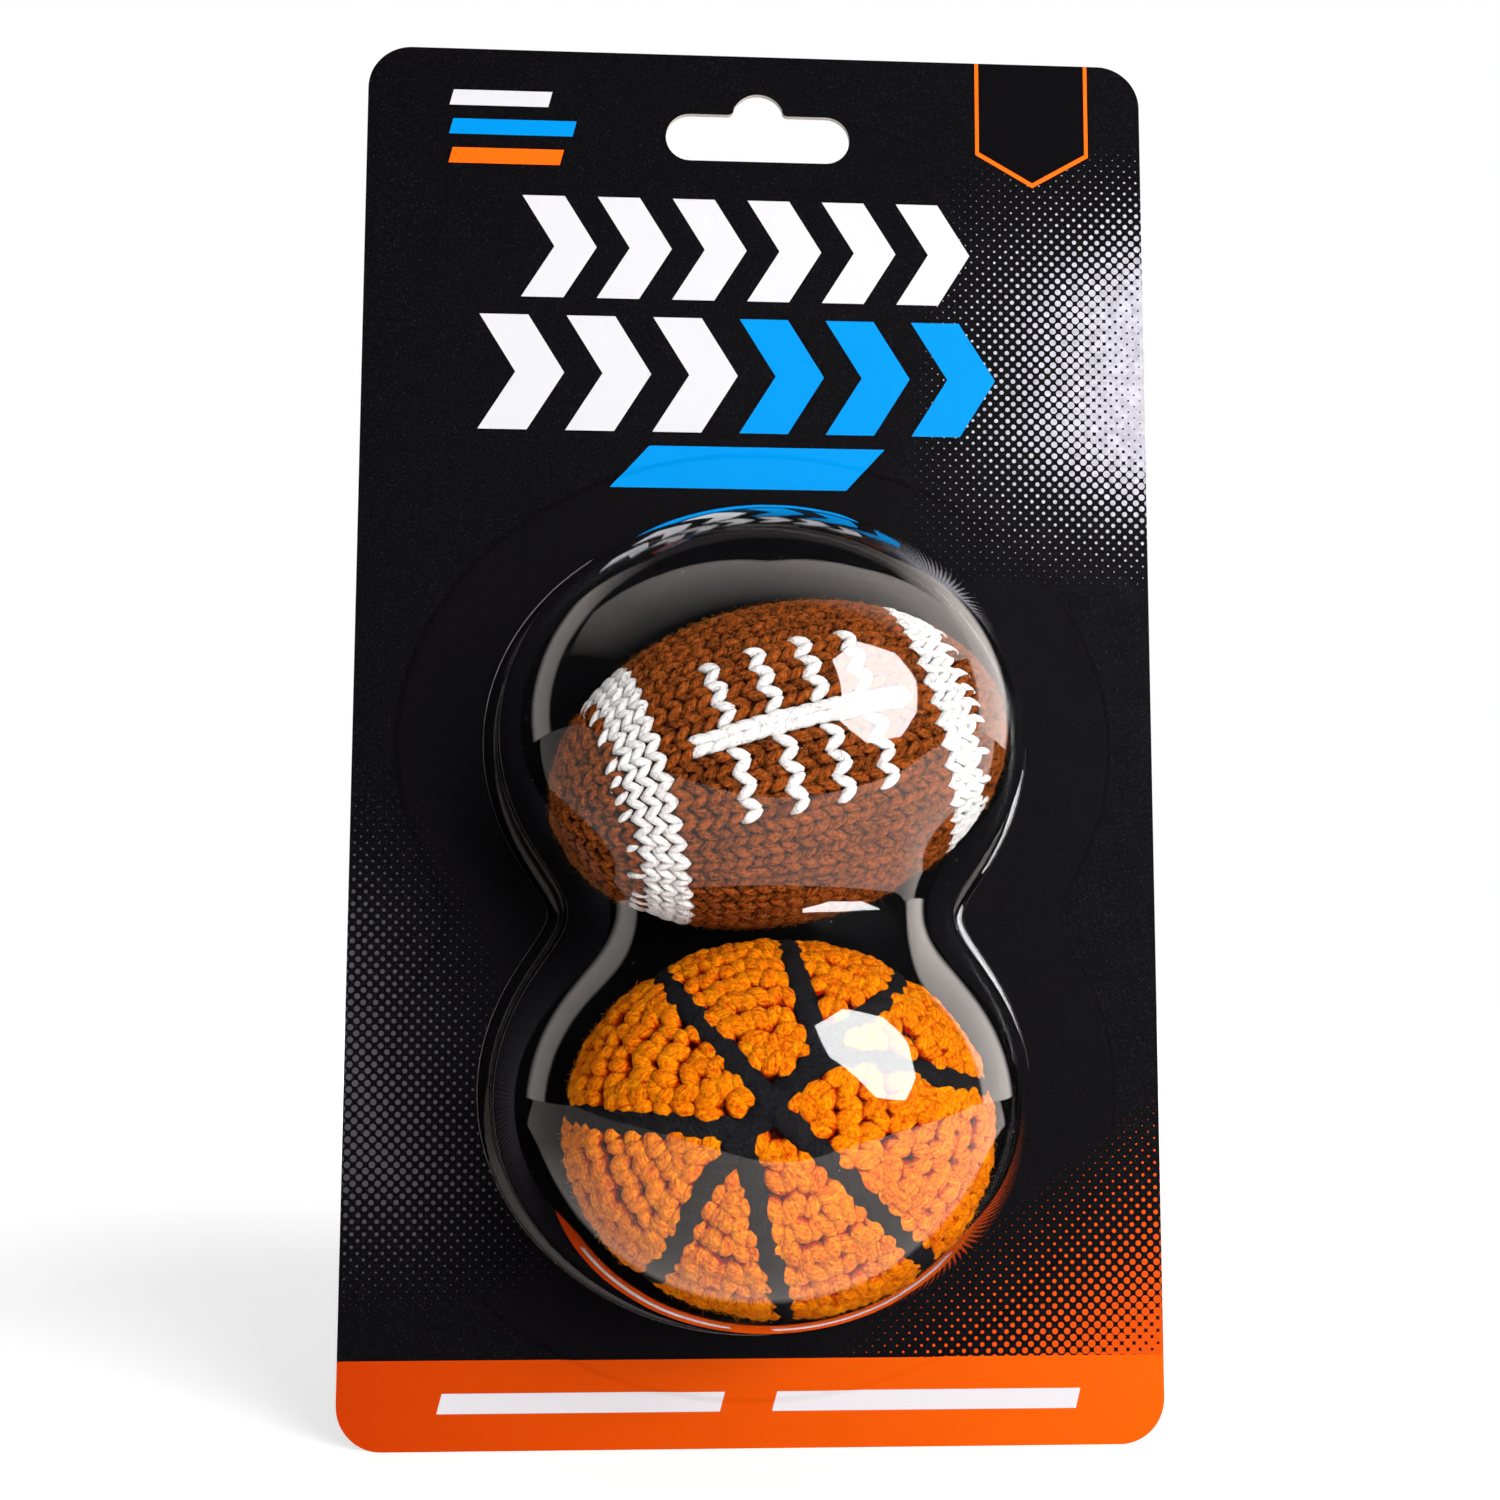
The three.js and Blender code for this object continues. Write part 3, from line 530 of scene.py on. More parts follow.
def clear_sheet():
    """Thin clear plastic that bends light only for the eye and lets lamp light straight through."""
    material, f = new_finish("clear sheet", IOR=1.5, Transmission_Weight=1.0)
    where = f.own_place()
    dust = f.add("ShaderNodeTexVoronoi", {"Vector": where, "Scale": 420.0})
    dust = f.times(f.spread(dust, 0.02, 0.05, 1.0, 0.0), f.spread(f.noise(where, 60.0), 0.5, 0.62))
    dents = f.bump(f.noise(where, 70.0, 2.0), 0.00006, 0.5)
    roughness = f.spread(dust, 0.0, 1.0, 0.02, 0.5)
    f.surface(Base_Color=(0.97, 0.975, 0.98, 1), Roughness=roughness, Normal=dents)
    rays = f.node("ShaderNodeLightPath")
    straight = f.math("MAXIMUM", rays["Is Shadow Ray"], rays["Is Diffuse Ray"])
    through = f.add("ShaderNodeBsdfTransparent", {"Color": (0.95, 0.955, 0.96, 1)})
    f.show(f.add("ShaderNodeMixShader", {0: straight, 1: f.bare(), 2: through}))
    return material


def spun_yarn_group():
    """Fibres of a spun yarn, drawn along each laid stitch: a colour, with painted shade where the strand
    lies low, and a height for bump.
    """
    group = bpy.data.node_groups.new("spun yarn", "ShaderNodeTree")
    f = Finish(group)
    numbers = {name: "Float" for name in ("Fibres", "Lay", "Depth", "Contrast")}
    f.sockets("INPUT", Light="Color", Dark="Color", **numbers)
    f.sockets("OUTPUT", Colour="Color", Height="Float")
    given = f.node("NodeGroupInput")
    result = group.nodes.new("NodeGroupOutput").inputs
    names = ("along", "around", "tone", "height")
    along, around, tone, height = [f.add("ShaderNodeAttribute", output=2, attribute_name=n) for n in names]
    strands = f.times(f.math("MULTIPLY_ADD", along, given["Lay"], around), given["Fibres"])
    where = f.add("ShaderNodeCombineXYZ", {0: f.times(along, 3.0), 1: strands, 2: f.times(tone, 40.0)})
    fibre = f.noise(where, 1.0, 3.0, 0.6)
    mottle = f.noise(f.own_place(), 2000.0, 3.0, 0.6)
    shade = f.math("MULTIPLY_ADD", f.spread(fibre, 0.35, 0.65), 0.6, f.times(tone, 0.3))
    shade = f.math("MULTIPLY_ADD", f.spread(mottle, 0.35, 0.65), 0.7, f.less(shade, 0.25))
    shade = f.math("MULTIPLY_ADD", f.less(shade, 0.6), given["Contrast"], 0.6)
    # Painted shade: darker where the strand's surface lies low, at its sides and ends between the stitches.
    painted_hollow_shade = f.times(f.spread(height, 0.5, 0.05), given["Depth"])
    shade = f.math("SUBTRACT", shade, painted_hollow_shade, clamp=True)
    f.feed(result["Colour"], f.mix(shade, given["Dark"], given["Light"]))
    f.feed(result["Height"], f.math("ADD", fibre, mottle))
    return group


spun_yarn = spun_yarn_group()


def yarn(name, light, dark, fibres, lay, bump, hollow_shade, soft=0.0, contrast=1.0):
    """A yarn's material: its two tones, the twist and a painted shade, towards the dark tone, where a stitch
    dips under others.
    """
    material, f = new_finish(name, Roughness=0.9, Specular_IOR_Level=0.05)
    f.surface(Subsurface_Weight=soft, Subsurface_Scale=0.0012, Subsurface_Radius=(1.0, 0.5, 0.2))
    look = {"Light": linear(*light), "Dark": linear(*dark), "Fibres": fibres, "Lay": lay}
    spun = f.node("ShaderNodeGroup", {**look, "Depth": hollow_shade, "Contrast": contrast}, node_tree=spun_yarn)
    f.surface(Base_Color=spun["Colour"], Normal=f.bump(spun["Height"], bump))
    return material


def lining_cloth():
    material, f = new_finish("lining cloth", Roughness=0.9)
    weave = f.add("ShaderNodeTexWave", {"Vector": f.own_place(), "Scale": 900.0})
    colour = f.mix(weave, linear(196, 186, 168), linear(222, 214, 198))
    f.surface(Base_Color=colour, Normal=f.bump(weave, 0.0001))
    return material


# Soft forms


def ball_frame(local):
    return local + BALL_AT


def football_frame(local):
    return local @ FOOTBALL_TURN.T + FOOTBALL_AT


def egg(half_l, radius, around=72, along=44):
    """Points and faces of a closed round form about X, with its poles at the two ends."""
    points = [(half_l, 0, 0)]
    for k in range(1, along):
        t = math.pi * k / along
        out = radius * math.sin(t)
        for i in range(around):
            a = 2 * math.pi * i / around
            points.append((half_l * math.cos(t), -out * math.cos(a), out * math.sin(a)))
    points.append((-half_l, 0, 0))
    faces = []
    last = len(points) - 1
    for i in range(around):
        j = (i + 1) % around
        faces.append((0, 1 + i, 1 + j))
        faces.append((last, last - around + j, last - around + i))
        for k in range(along - 2):
            a, b = 1 + k * around + i, 1 + k * around + j
            faces.append((a, a + around, b + around, b))
    return np.array(points), faces


def puffed(points, faces, held, most, pressure=3.0):
    """Blows the form up as cloth held at some of its points; it runs larger than life. The
    move of each point is capped, in millimetres."""
    mesh = bpy.data.meshes.new("puff")
    mesh.from_pydata((points * MM * CLOTH_SCALE).tolist(), [], faces)
    cloth = show("puff", mesh)
    group = cloth.vertex_groups.new(name="held")
    for i in np.flatnonzero(held > 0):
        group.add([int(i)], float(held[i]), "REPLACE")
    modifier = cloth.modifiers.new("cloth", "CLOTH")
    modifier.settings.vertex_group_mass = "held"
    modifier.settings.use_pressure = True
    modifier.settings.uniform_pressure_force = pressure
    modifier.settings.effector_weights.gravity = 0
    modifier.point_cache.frame_end = CLOTH_FRAMES
    for number in range(1, CLOTH_FRAMES + 1):
        scene.frame_set(number)
    blown = cloth.evaluated_get(bpy.context.evaluated_depsgraph_get()).to_mesh()
    moved = np.array([v.co for v in blown.vertices]) / (MM * CLOTH_SCALE) - points
    bpy.data.objects.remove(cloth)
    bpy.data.meshes.remove(mesh)
    scene.frame_set(1)
    length = np.linalg.norm(moved, axis=1, keepdims=True)
    return points + moved * np.minimum(1, most / np.maximum(length, 1e-9))


class Skin:
    """A soft form that stitches are laid on: it finds the surface along a line from inside."""

    def __init__(self, points, faces, to_row):
        self.points, self.faces, self.to_row = points, faces, to_row
        self.tree = BVHTree.FromPolygons(points.tolist(), faces)

    def at(self, inside, towards):
        hit, normal, _, _ = self.tree.ray_cast(Vector(inside), Vector(towards))
        normal = np.array(normal)
        if normal @ np.array(towards) < 0:
            normal = -normal
        return np.array(hit), normal


def turn_of(x_axis, normal):
    """Euler angles that turn +X onto a direction and +Z onto the part of a normal square to it."""
    x = Vector(x_axis).normalized()
    z = (Vector(normal) - x * Vector(normal).dot(x)).normalized()
    y = z.cross(x)
    return Matrix((x, y, z)).transposed().to_euler("XYZ")


# Geometry Nodes: laid stitches and loose fibres


class Growth(Wiring):
    """A Geometry Nodes tree being wired. It is given a mesh, some sizes and a material."""

    def __init__(self, name, **sizes):
        super().__init__(bpy.data.node_groups.new(name, "GeometryNodeTree"))
        self.sockets("INPUT", Geometry="Geometry", **sizes, Material="Material")
        self.sockets("OUTPUT", Geometry="Geometry")
        self.given = self.node("NodeGroupInput")

    def point(self, x=0.0, z=0.0):
        return self.add("ShaderNodeCombineXYZ", {0: x, 2: z})

    def stored(self, geometry, name, value):
        return self.add("GeometryNodeStoreNamedAttribute", {0: geometry, "Name": name, "Value": value})

    def named(self, name):
        return self.add("GeometryNodeInputNamedAttribute", {"Name": name}, data_type="FLOAT_VECTOR")

    def path(self, steps, start, middle, end):
        ends = {"Resolution": steps, "Start": start, "Middle": middle, "End": end}
        return self.add("GeometryNodeCurveQuadraticBezier", ends)

    def ring(self, sides):
        return self.add("GeometryNodeCurvePrimitiveCircle", {"Resolution": sides, "Radius": 0.5})

    def tube(self, path, ring, thickness):
        made_of = {"Curve": path, "Profile Curve": ring, "Scale": thickness, "Fill Caps": True}
        return self.add("GeometryNodeCurveToMesh", made_of)

    def laid(self, points, piece, rotation, size):
        """Puts one piece on every point, dresses the result and returns the finished tree."""
        where = {"Points": points, "Instance": piece, "Rotation": rotation, "Scale": size}
        real = self.add("GeometryNodeRealizeInstances", {0: self.add("GeometryNodeInstanceOnPoints", where)})
        smooth = self.add("GeometryNodeSetShadeSmooth", {0: real})
        dressed = self.add("GeometryNodeSetMaterial", {0: smooth, "Material": self.given["Material"]})
        self.feed(self.tree.nodes.new("NodeGroupOutput").inputs[0], dressed)
        return self.tree


def strand_tree():
    """Lays one plump strand, pointed at both ends and bowed outwards, on every point."""
    numbers = {name: "Float" for name in ("Length", "Thickness", "Bow", "Bluntness")}
    n = Growth("laid strands", **numbers, Sides="Int", Steps="Int")
    half = n.times(n.given["Length"], 0.5)
    path = n.path(n.given["Steps"], n.point(n.times(half, -1.0)), n.point(z=n.given["Bow"]), n.point(half))
    share = n.add("GeometryNodeSplineParameter")
    path = n.stored(path, "along", share)
    ring = n.add("GeometryNodeTransform", {0: n.ring(n.given["Sides"]), "Rotation": (0, 0, math.pi)})
    ring = n.stored(ring, "around", share)
    swell = n.math("SINE", n.times(n.math("MULTIPLY_ADD", share, 0.94, 0.03), math.pi))
    swell = n.times(n.math("POWER", swell, n.given["Bluntness"]), n.given["Thickness"])
    strand = n.tube(path, ring, swell)
    # Height over the strand's middle line, in thicknesses: the yarn material paints shade where it is low.
    lift = n.split(n.add("GeometryNodeInputPosition"))[2]
    strand = n.stored(strand, "height", n.math("DIVIDE", lift, n.given["Thickness"]))
    turn = n.add("FunctionNodeEulerToRotation", {0: n.named("turn")})
    return n.laid(n.given["Geometry"], strand, turn, n.named("size"))


def fibre_tree():
    """Grows short bent fibres out of a surface, leaning every way."""
    n = Growth("loose fibres", Per_Area="Float", Length="Float", Thickness="Float", Seed="Int")
    seed, length = n.given["Seed"], n.given["Length"]
    spread = {"Mesh": n.given["Geometry"], "Density": n.given["Per Area"], "Seed": seed}
    points = n.node("GeometryNodeDistributePointsOnFaces", spread)
    tip = n.point(n.times(length, 0.8), n.times(length, 0.5))
    path = n.path(2, (0, 0, 0), n.point(z=n.times(length, 0.6)), tip)
    # A height of 1 keeps the yarn material's painted hollow shade off the fibres.
    fibre = n.stored(n.tube(path, n.ring(3), n.given["Thickness"]), "height", 1.0)
    limits = {"Min": (-0.9, -0.9, 0.0), "Max": (0.9, 0.9, 2 * math.pi), "Seed": seed}
    lean = n.add("FunctionNodeRandomValue", limits, data_type="FLOAT_VECTOR")
    lean = {0: points["Rotation"], 1: n.add("FunctionNodeEulerToRotation", {0: lean})}
    turn = n.add("FunctionNodeRotateRotation", lean, rotation_space="LOCAL")
    size = n.add("FunctionNodeRandomValue", {2: 0.5, 3: 1.4}, output=1)
    return n.laid(points["Points"], fibre, turn, size)


strands, fibres = strand_tree(), fibre_tree()


def run_tree(name, host, tree, material, **sizes):
    """Runs a tree on a mesh, keeps the plain result under a name and removes the host."""
    modifier = host.modifiers.new("tree", "NODES")
    modifier.node_group = tree
    identifiers = {s.name: s.identifier for s in tree.interface.items_tree if s.in_out == "INPUT"}
    for key, value in {**sizes, "Material": material}.items():
        modifier[identifiers[key.replace("_", " ")]] = value
    bpy.context.view_layer.update()
    made = bpy.data.meshes.new_from_object(host.evaluated_get(bpy.context.evaluated_depsgraph_get()))
    bpy.data.objects.remove(host)
    made.name = name
    return show(name, made)


def lay_stitches(name, stitches, material, length, thickness, bow, bluntness, steps):
    """stitches holds (point in mm, Euler turn, size, tone) for every strand, in the row frame."""
    mesh = bpy.data.meshes.new(name)
    mesh.from_pydata([tuple(np.asarray(s[0]) * MM) for s in stitches], [], [])
    for column, key in enumerate(("turn", "size", "tone"), 1):
        kind, field = ("FLOAT", "value") if key == "tone" else ("FLOAT_VECTOR", "vector")
        values = np.array([s[column] for s in stitches], dtype=np.float32).ravel()
        mesh.attributes.new(key, kind, "POINT").data.foreach_set(field, values)
    sizes = {"Length": length * MM, "Thickness": thickness * MM, "Bow": bow * MM, "Bluntness": bluntness}
    return run_tree(name, show(name, mesh), strands, material, **sizes, Sides=8, Steps=steps)


def grow_fibres(name, skin, material, chosen, proud, per_mm2, length, seed, thickness=0.05):
    """Loose fibres that start proud of a soft form, over those of its faces that are chosen."""
    points = skin.to_row(skin.points + units(skin.points) * proud)
    host = add_mesh("fuzz host", points, [f for f in skin.faces if chosen(skin.points[list(f)].mean(0))])
    sizes = {"Per_Area": per_mm2 / MM**2, "Length": length * MM, "Thickness": thickness * MM}
    return run_tree(name, host, fibres, material, **sizes, Seed=seed)


def yarn_tube(name, rows, sides=12):
    """A closed strand from rows of (point, normal, width, thickness), all in millimetres."""
    points, along, around = [], [], []
    last = len(rows) - 1
    for i, (at, normal, width, thick) in enumerate(rows):
        side = unit(np.cross(rows[min(i + 1, last)][0] - rows[max(i - 1, 0)][0], normal))
        for k in range(sides):
            a = 2 * math.pi * k / sides
            points.append(at + side * math.cos(a) * width / 2 + normal * math.sin(a) * thick / 2)
            along.append(i / last)
            around.append(k / sides)
    faces = [range(sides)[::-1], range(last * sides, len(points))]
    for first in range(0, last * sides, sides):
        pairs = [(first + k, first + (k + 1) % sides) for k in range(sides)]
        faces += [(a, b, b + sides, a + sides) for a, b in pairs]
    piece = add_mesh(name, points, faces)
    # Full tone and height keep the yarn material's painted hollow shade off these strands.
    level = [1.0] * len(points)
    for key, values in (("along", along), ("around", around), ("tone", level), ("height", level)):
        piece.data.attributes.new(key, "FLOAT", "POINT").data.foreach_set("value", values)
    return piece


# Football: courses run round it, and each stitch is a V of two strands that points right


def course_places():
    """Places along the axis, one course apart over the surface and none too near a pole."""
    t = np.linspace(0, math.pi / 2, 2000)
    x = FOOTBALL_HALF_L * np.sin(t)
    r = FOOTBALL_R * np.cos(t)
    run = np.concatenate([[0], np.cumsum(np.hypot(np.diff(x), np.diff(r)))])
    wanted = np.arange(COURSE / 2, run[-1] - COURSE * 0.3, COURSE)
    right = np.interp(wanted, run, x)
    return list(zip(range(len(right)), right)) + [(-1 - k, -v) for k, v in enumerate(right)]


def football_skin():
    """The form under the knitting, drawn in a little along the edges of the white bands."""
    points, faces = egg(FOOTBALL_HALF_L - 1.0, FOOTBALL_R - 1.0)
    x = np.abs(points[:, 0])
    at_edge = np.minimum(np.abs(x - BAND_FROM), np.abs(x - BAND_TO)) < 0.9
    return Skin(puffed(points, faces, np.where(at_edge, 0.9, 0.35), 0.8), faces, football_frame)


def football_part(course, x, wale, wales):
    """Which yarn a stitch has. The laces run along the middle wale and across it."""
    if BAND_FROM - 0.6 < abs(x) < BAND_SOLID_TO:
        return "bands"
    on_bar = wale == 0 and abs(x) < 15.1
    across_bar = 0 < abs(wale) <= 3 and course in (-5, -2, 1, 4)
    return "laces" if wales == WALES and (on_bar or across_bar) else "ground"


def make_football_stitches(skin):
    """Every knitted strand, sorted into brown ground, white bands and white laces."""
    sorted_out = {"ground": [], "bands": [], "laces": []}
    for course, x in course_places():
        r = FOOTBALL_R * math.sqrt(max(1 - (x / FOOTBALL_HALF_L) ** 2, 0))
        wales = next(n for n, least in ((WALES, 14.5), (28, 11), (20, 7.5), (12, 4.4), (7, 0)) if r >= least)
        slope = math.atan2(-x * FOOTBALL_R**2 / FOOTBALL_HALF_L**2, max(r, 1e-6))
        width = 2 * math.pi * r / wales / 3.8
        thin = max(min(width, 1.0), 0.5)
        for wale in range(wales):
            signed = wale if wale <= wales // 2 else wale - wales
            toothed = BAND_SOLID_TO <= abs(x) < BAND_TO + 1.2 and (wale * 7 + wale // 3) % 5 < 4
            part = football_part(course, x, signed, wales)
            on_bar = part == "laces" and signed == 0
            for side in (1, -1):
                if toothed:
                    part = "bands" if side * x > 0 else "ground"
                turn = LACE_ROLL + 2 * math.pi / wales * (signed + side * (0.2 if on_bar else 0.25))
                outward = np.array([0, -math.cos(turn), math.sin(turn)])
                inside = np.array([0.85 * x, 0, 0])
                at, normal = skin.at(inside, unit(np.array([x, 0, 0]) + outward * r - inside))
                along = leaned(np.array([1, 0, 0]), outward, slope)
                across = np.array([0, math.sin(turn), math.cos(turn)])
                spread = math.radians((12 if on_bar else 28) + rng.normal(0, 2.5))
                way = leaned(leaned(along, across * -side, spread), normal, math.radians(9))
                lift = 0.22 if part == "ground" else 0.35
                row_at = football_frame(at + normal * lift + rng.normal(0, 0.06, 3))
                full = 1.12 if on_bar else 1.0
                size = (full + rng.normal(0, 0.03), full * thin * (1 + rng.normal(0, 0.05)), thin)
                turned = turn_of(FOOTBALL_TURN @ way, FOOTBALL_TURN @ normal)
                sorted_out[part].append((row_at, turned, size, rng.random()))
    return sorted_out


def make_knot(name, axis, reach, to_row, turn):
    """The drawn-up end of a bag's yarn: a flat coil of two turns at a reach from the bag's middle."""
    rows = []
    axis, side = np.array(axis, float), np.array([0, 1.0, 0])
    up = np.cross(axis, side)
    for t in np.linspace(0, 1, 44):
        a = t * 4 * math.pi
        r = 1.75 * (1 - t) + 0.15
        local = (side * math.cos(a) + up * math.sin(a)) * r + axis * (reach + 0.55 * t)
        rows.append((to_row(local), turn @ axis, 1 - 0.35 * t, 0.9 * (1 - 0.35 * t)))
    return yarn_tube(name, rows, 8)


# Ball: rounds of double strands about the front, with black lines in the valleys between them

JOINS = {"lower": (-0.203, 0.055), "crossing": (-0.101, 0.184), "upper": (0.118, 0.441)}
SEAM_LINES = (
    ("crossing", 125), ("crossing", -46), ("lower", 175), ("lower", -128),
    ("lower", -89), ("upper", 88), ("upper", 55), ("upper", 14),
)


def seam_way(join, leaves, turn):
    """Direction from the ball's centre along a line, from the face over the edge to the back."""
    pull = abs(math.cos(turn)) ** 3
    x, z = JOINS[join]
    a = math.radians(leaves)
    across, up = math.sin(turn) * math.cos(a) + x * pull, math.sin(turn) * math.sin(a) + z * pull
    return np.array([across, -math.cos(turn), up]) * BALL_SIZE


def crossing_way(share, side):
    (x0, z0), (x1, z1) = JOINS["lower"], JOINS["upper"]
    return unit(np.array([x0 + (x1 - x0) * share, side, z0 + (z1 - z0) * share])) * BALL_SIZE


def on_ball(way):
    return unit(way / BALL_SIZE) * BALL_SIZE


SEAM_POINTS = np.array(
    [on_ball(seam_way(j, a, t)) for j, a in SEAM_LINES for t in np.linspace(0, math.pi, 90)]
    + [on_ball(crossing_way(s, side)) for side in (-1, 1) for s in np.linspace(0, 1, 30)]
)


def seam_distance(at):
    return np.sqrt(((SEAM_POINTS - at) ** 2).sum(1).min())


def ball_skin():
    """The form under the crochet, drawn in a little along the black lines."""
    points, faces = egg(BALL_HALF_W - 1.2, BALL_R - 1.2)
    distance = np.array([seam_distance(on_ball(p)) for p in points])
    pulled = points * (1 - 0.018 * np.exp(-((distance / 2.2) ** 2)))[:, None]
    held = np.clip(1.15 - distance / 4, 0.3, 1)
    return Skin(puffed(pulled, faces, held, 1.0), faces, ball_frame)


def ball_places():
    """Rounds of crochet about the place on the face where the lines meet, then fillings beside the lines."""
    pole = unit(np.array([-0.06, -1.0, 0.16]))
    east = unit(np.cross(np.array([0, 0, 1.0]), pole))
    north = np.cross(pole, east)
    mean = (BALL_HALF_W + 2 * BALL_R) / 3
    rows = int(math.pi * mean / ROUND_STEP)
    places = []
    for row in range(rows):
        polar = (row + 0.5) / rows * math.pi
        count = max(3, round(2 * math.pi * math.sin(polar) * mean / STITCH_STEP))
        for i in range(count):
            angle = 2 * math.pi * (i + 0.5 * (row % 2) + rng.normal(0, 0.06)) / count
            lean = polar + rng.normal(0, 0.012)
            flat = east * math.cos(angle) + north * math.sin(angle)
            target = on_ball(pole * math.cos(lean) + flat * math.sin(lean))
            gap = target - SEAM_POINTS[((SEAM_POINTS - target) ** 2).sum(1).argmin()]
            distance = np.linalg.norm(gap)
            if distance < 1.5:
                continue
            if distance < LINE_CLEARANCE:
                target = target + gap / distance * (LINE_CLEARANCE - distance)
            places.append(target)
    for way in rng.normal(size=(5000, 3)):
        target = on_ball(unit(way))
        beside = LINE_CLEARANCE - 0.7 < seam_distance(target) < LINE_CLEARANCE + 1.5
        if beside and min(((np.array(places) - target) ** 2).sum(1)) > 2.2**2:
            places.append(target)
    return pole, places


def make_ball_stitches(skin):
    """Two plump strands side by side on every place."""
    stitches = []
    pole, places = ball_places()
    for target in places:
        at, normal = skin.at((0, 0, 0), unit(target))
        outward = unit(np.cross(np.cross(normal, pole), normal)) * -1
        outward = leaned(outward, np.cross(normal, outward), rng.normal(0, 0.22))
        across = np.cross(normal, outward)
        tone, plump = rng.random(), 1 + rng.normal(0, 0.07)
        for side in (1, -1):
            way = leaned(outward, across * -side, math.radians(22))
            turned = turn_of(leaned(way, normal, math.radians(7)), normal)
            place_at = at + across * side * STITCH_STEP / 4 + normal * rng.normal(0.15, 0.08)
            shade = 0.6 * tone + 0.4 * rng.random()
            stitches.append((ball_frame(place_at), turned, (plump, plump, 0.75), shade))
    return stitches


def make_black_line(name, ways, skin, width):
    """A black line laid on the ball along these directions, its width wandering a little."""
    rows = []
    wander = np.convolve(rng.normal(0, 1, len(ways) + 6), np.ones(7) / 7, "valid")
    for way, change in zip(ways, wander):
        at, normal = skin.at((0, 0, 0), unit(way))
        rows.append((ball_frame(at + normal * 0.95), normal, width * (1 + 0.1 * change), 1.7))
    return yarn_tube(name, rows)


# Stage and light

WARM_WHITE = (1.0, 0.91, 0.86, 1.0)


def stage_plane(name, corners, material, unseen=False):
    mesh = bpy.data.meshes.new(name)
    mesh.from_pydata(corners, [], [tuple(range(len(corners)))])
    mesh.materials.append(material)
    thing = show(name, mesh)
    thing.visible_camera = not unseen
    return thing


def level_plane(name, outline, height, material, unseen=False):
    """A level stage plane from an outline and a height in millimetres."""
    return stage_plane(name, [(x * MM, y * MM, height * MM) for x, y in outline], material, unseen)


def make_softbox(azimuth, elevation, distance, width, height, lamp, mirrored):
    """A glowing octagon that faces the pack, seen only in reflections; azimuth 90 is at its right."""
    a, e = math.radians(azimuth), math.radians(elevation)
    back = Vector((math.sin(a) * math.cos(e), -math.cos(a) * math.cos(e), math.sin(e)))
    centre = Vector((0.0, -0.03, -0.13)) + back * distance
    right = Vector((0, 0, 1)).cross(back).normalized()
    up = back.cross(right)
    turn = math.pi / 8
    scale = 1 / math.cos(turn)
    corners = []
    for k in range(8):
        t = turn - 2 * math.pi * k / 8
        across = right * math.cos(t) * width / 2 * scale
        corners.append(centre + across + up * math.sin(t) * height / 2 * scale)
    material = bpy.data.materials.new("octagonal_softbox")
    f = emptied(material)
    _, bent = rays_and_bent(f)
    seen_from_front = f.math("SUBTRACT", 1.0, f.add("ShaderNodeNewGeometry", output=6))
    power = f.times(f.spread(bent, 0.0, 1.0, lamp, mirrored), seen_from_front)
    f.show(f.add("ShaderNodeEmission", {"Strength": power}))
    stage_plane("octagonal_softbox", corners, material, unseen=True)


def sheet_finish():
    """A hung white sheet, brightest at its back edge and towards the right."""
    material = bpy.data.materials.new("hung sheet")
    f = emptied(material)
    x, y, _ = f.split(f.own_place())
    level = f.times(f.spread(x, -0.11, 0.02, 0.55, 1.75), f.spread(x, -0.24, -0.12))
    level = f.times(level, f.spread(y, -0.18, -0.07))
    f.show(f.add("ShaderNodeEmission", {"Color": WARM_WHITE, "Strength": level}))
    return material


def flag_finish():
    """Black seen from below and nothing seen from above."""
    material = bpy.data.materials.new("black flag")
    f = emptied(material)
    below = f.add("ShaderNodeNewGeometry", output=6)
    dark = f.add("ShaderNodeEmission", {"Strength": 0.0})
    f.show(f.add("ShaderNodeMixShader", {0: below, 1: f.add("ShaderNodeBsdfTransparent"), 2: dark}))
    return material


def floor_finish():
    """White paper that stays white to the eye and ends in the dark in front, as mirrored by the bubble."""
    material, f = new_finish("floor paper", Roughness=0.9, Base_Color=(0.86, 0.86, 0.86, 1))
    rays, bent = rays_and_bent(f)
    where = f.own_place()
    x, y, _ = f.split(where)
    away = f.add("ShaderNodeVectorMath", {0: where}, output=1, operation="LENGTH")
    glow = f.times(rays["Is Camera Ray"], f.spread(away, 0.3, 0.7, 0.5, 1.0))
    glow = f.math("MAXIMUM", glow, f.times(rays["Is Diffuse Ray"], 0.3))
    f.surface(Emission_Color=(1, 1, 1, 1), Emission_Strength=glow)
    aside = f.less(x, 0.04)
    curved = f.math("MULTIPLY_ADD", f.times(aside, aside), 1.8, -0.036)
    slanted = f.math("MAXIMUM", f.times(x, 0.42), f.times(x, -0.61))
    past = f.less(y, f.math("MINIMUM", curved, slanted))
    # Painted light in the floor as the bubble mirrors it: brighter towards the right, on the softbox's side.
    level = f.times(f.spread(x, -0.2, 0.2, 0.25, 1.35), f.math("GREATER_THAN", y, -0.33))
    level = f.times(level, f.spread(past, -0.003, 0.002, 1.0, 0.0))
    mirrored = f.add("ShaderNodeEmission", {"Color": WARM_WHITE, "Strength": level})
    f.show(f.add("ShaderNodeMixShader", {0: bent, 1: f.bare(), 2: mirrored}))
    return material


